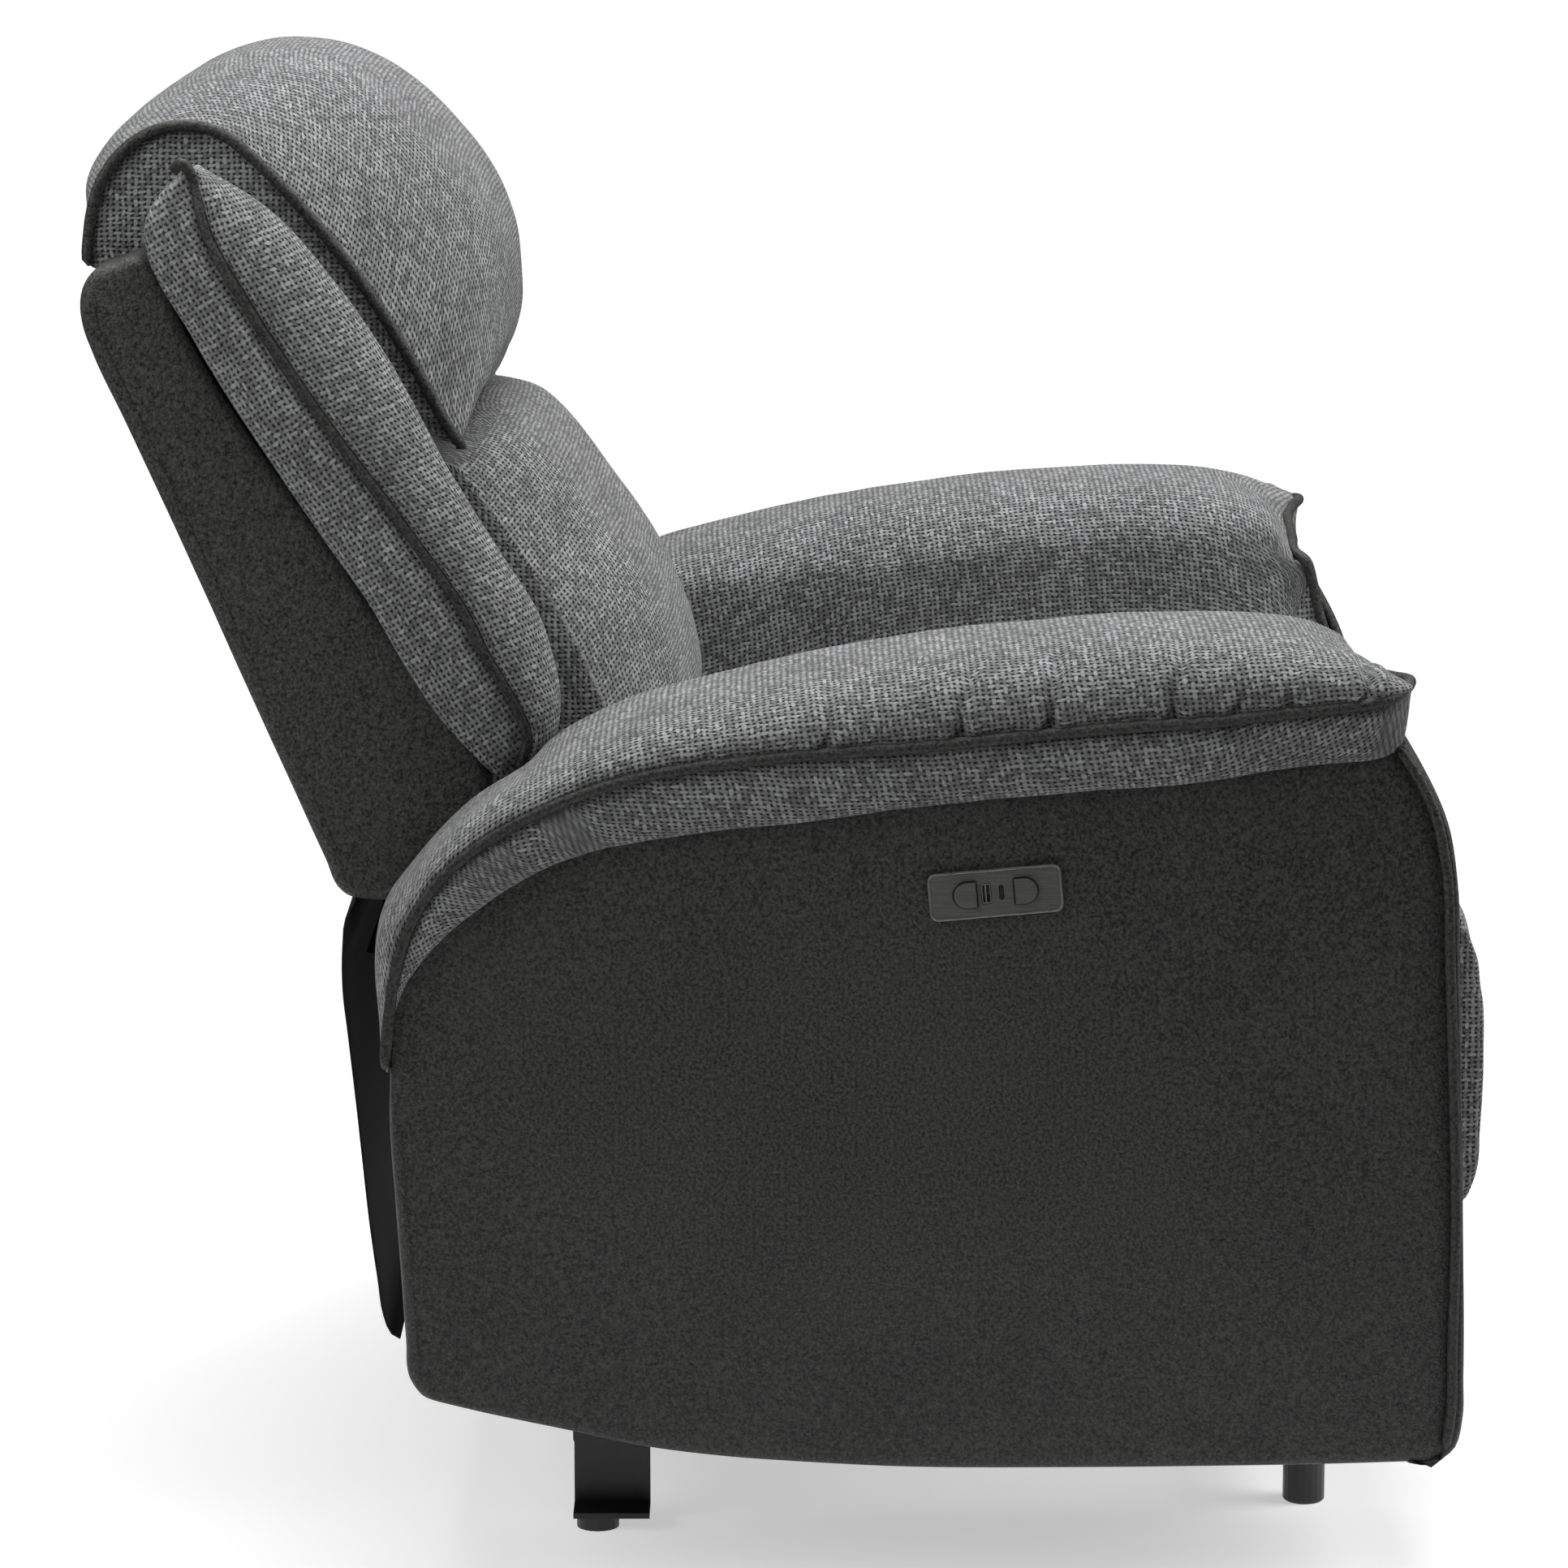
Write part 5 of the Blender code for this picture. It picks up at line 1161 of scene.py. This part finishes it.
# Dust cloth behind the seat
skirt = {"halfWidth": 0.329, "columns": 84, "rows": 46, "wall": 0.0010, "wave": 0.0035}
skirtRoute = [(-0.2975, 0.4560), (-0.3045, 0.444), (-0.3070, 0.425), (-0.3075, 0.394), (-0.3040, 0.360),
              (-0.2995, 0.319), (-0.2945, 0.270), (-0.2900, 0.225), (-0.2850, 0.185), (-0.2810, 0.157),
              (-0.2760, 0.1450), (-0.2700, 0.1415)]
route = smoothLine(skirtRoute, skirt["rows"])
grid = []
for x in np.linspace(-skirt["halfWidth"], skirt["halfWidth"], skirt["columns"]):
    row = []
    for n, (f, h) in enumerate(route):
        low = n / (skirt["rows"] - 1)
        slack = math.sin(math.pi * low) * skirt["wave"] * noise.noise(Vector((x * 9.0, h * 3.0, 2.0)))
        row.append((x, -f - slack, h))
    grid.append(row)
skirtPiece = newObject("rear_skirt", gridMesh("rear_skirt", grid), dustCloth)
turnOutwards(skirtPiece, Vector((0, 0.0, 0.3)))
withWall(skirtPiece, skirt["wall"])
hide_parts("rear_skirt")
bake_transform(skirtPiece)
print("skirt made,", round(lengthOf(route), 4), "m long")

# Lining cloth that closes the gap between the seat frame and the back
lining = {"halfWidth": 0.238, "columns": 60, "rows": 26, "wall": 0.0010}
liningRoute = smoothLine([(-0.1225, 0.4180), (-0.150, 0.4080), (-0.190, 0.3985), (-0.235, 0.3960), (-0.268, 0.3975),
                          (-0.2960, 0.4010)], lining["rows"])
grid = [[(x, -f, h + 0.0035 * noise.noise(Vector((x * 14.0, f * 10.0, 5.0)))) for f, h in liningRoute]
        for x in np.linspace(-lining["halfWidth"], lining["halfWidth"], lining["columns"])]
liningPiece = newObject("seat_lining", gridMesh("seat_lining", grid), dustCloth)
turnOutwards(liningPiece, Vector((0, 0.2, 0.2)))
withWall(liningPiece, lining["wall"])
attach(liningPiece, "seat")

# Floor, light and camera
studio = {"floorRadius": 1.05, "floorTone": 0.80, "floorGlow": 0.50, "target": (0.0, 0.0, 0.477),
          "camera": (-4.423, 0.0, 1.305), "lens": 138.4, "fill": 0.12, "backdrop": 1.05}
floorMesh = bpy.data.meshes.new("floor")
floorEdge = [(studio["floorRadius"] * math.cos(math.radians(a)), studio["floorRadius"] * math.sin(math.radians(a)), 0)
             for a in range(0, 360, 5)]
floorMesh.from_pydata(floorEdge, [], [tuple(range(len(floorEdge)))])
floorFinish, tree, shader = startMaterial("paleFloor")
shader.inputs["Base Color"].default_value = (*[studio["floorTone"]] * 3, 1)
shader.inputs["Roughness"].default_value = 0.9
shader.inputs["Specular IOR Level"].default_value = 0.0
shader.inputs["Emission Color"].default_value = (1, 1, 1, 1)
shader.inputs["Emission Strength"].default_value = studio["floorGlow"]
newObject("floor", floorMesh, floorFinish)

camera = bpy.data.objects.new("camera", bpy.data.cameras.new("camera"))
scene.collection.objects.link(camera)
camera.location = studio["camera"]
camera.rotation_euler = (Vector(studio["target"]) - camera.location).to_track_quat("-Z", "Y").to_euler()
camera.data.lens = studio["lens"]
camera.data.sensor_width = 36
camera.data.clip_end = 200
scene.camera = camera

lights = {"frontLight": {"place": (-0.3, -3.0, 2.1), "towards": (0, 0, 0.55), "size": 2.2, "power": 70},
          "topLight": {"place": (0.3, 0.0, 3.0), "towards": (0, 0, 0.5), "size": 2.6, "power": 96},
          "rearLight": {"place": (-1.6, 2.4, 2.1), "towards": (0, 0, 0.7), "size": 1.8, "power": 40}}
for name, d in lights.items():
    light = bpy.data.objects.new(name, bpy.data.lights.new(name, "AREA"))
    scene.collection.objects.link(light)
    light.data.shape = "RECTANGLE"
    light.data.size = light.data.size_y = d["size"]
    light.data.energy = d["power"]
    light.location = d["place"]
    light.rotation_euler = (Vector(d["towards"]) - Vector(d["place"])).to_track_quat("-Z", "Y").to_euler()
# the room is white to look at, but gives only a low fill light
scene.world = bpy.data.worlds.new("studio")
scene.world.use_nodes = True
tree = scene.world.node_tree
seen = put(tree, "ShaderNodeLightPath").outputs["Is Camera Ray"]
level = put(tree, "ShaderNodeMapRange", {"Value": seen, "To Min": studio["fill"], "To Max": studio["backdrop"]})
tree.nodes["Background"].inputs[0].default_value = (1, 1, 1, 1)
tree.links.new(level.outputs[0], tree.nodes["Background"].inputs[1])
scene.view_settings.view_transform = "Standard"
print("studio made")
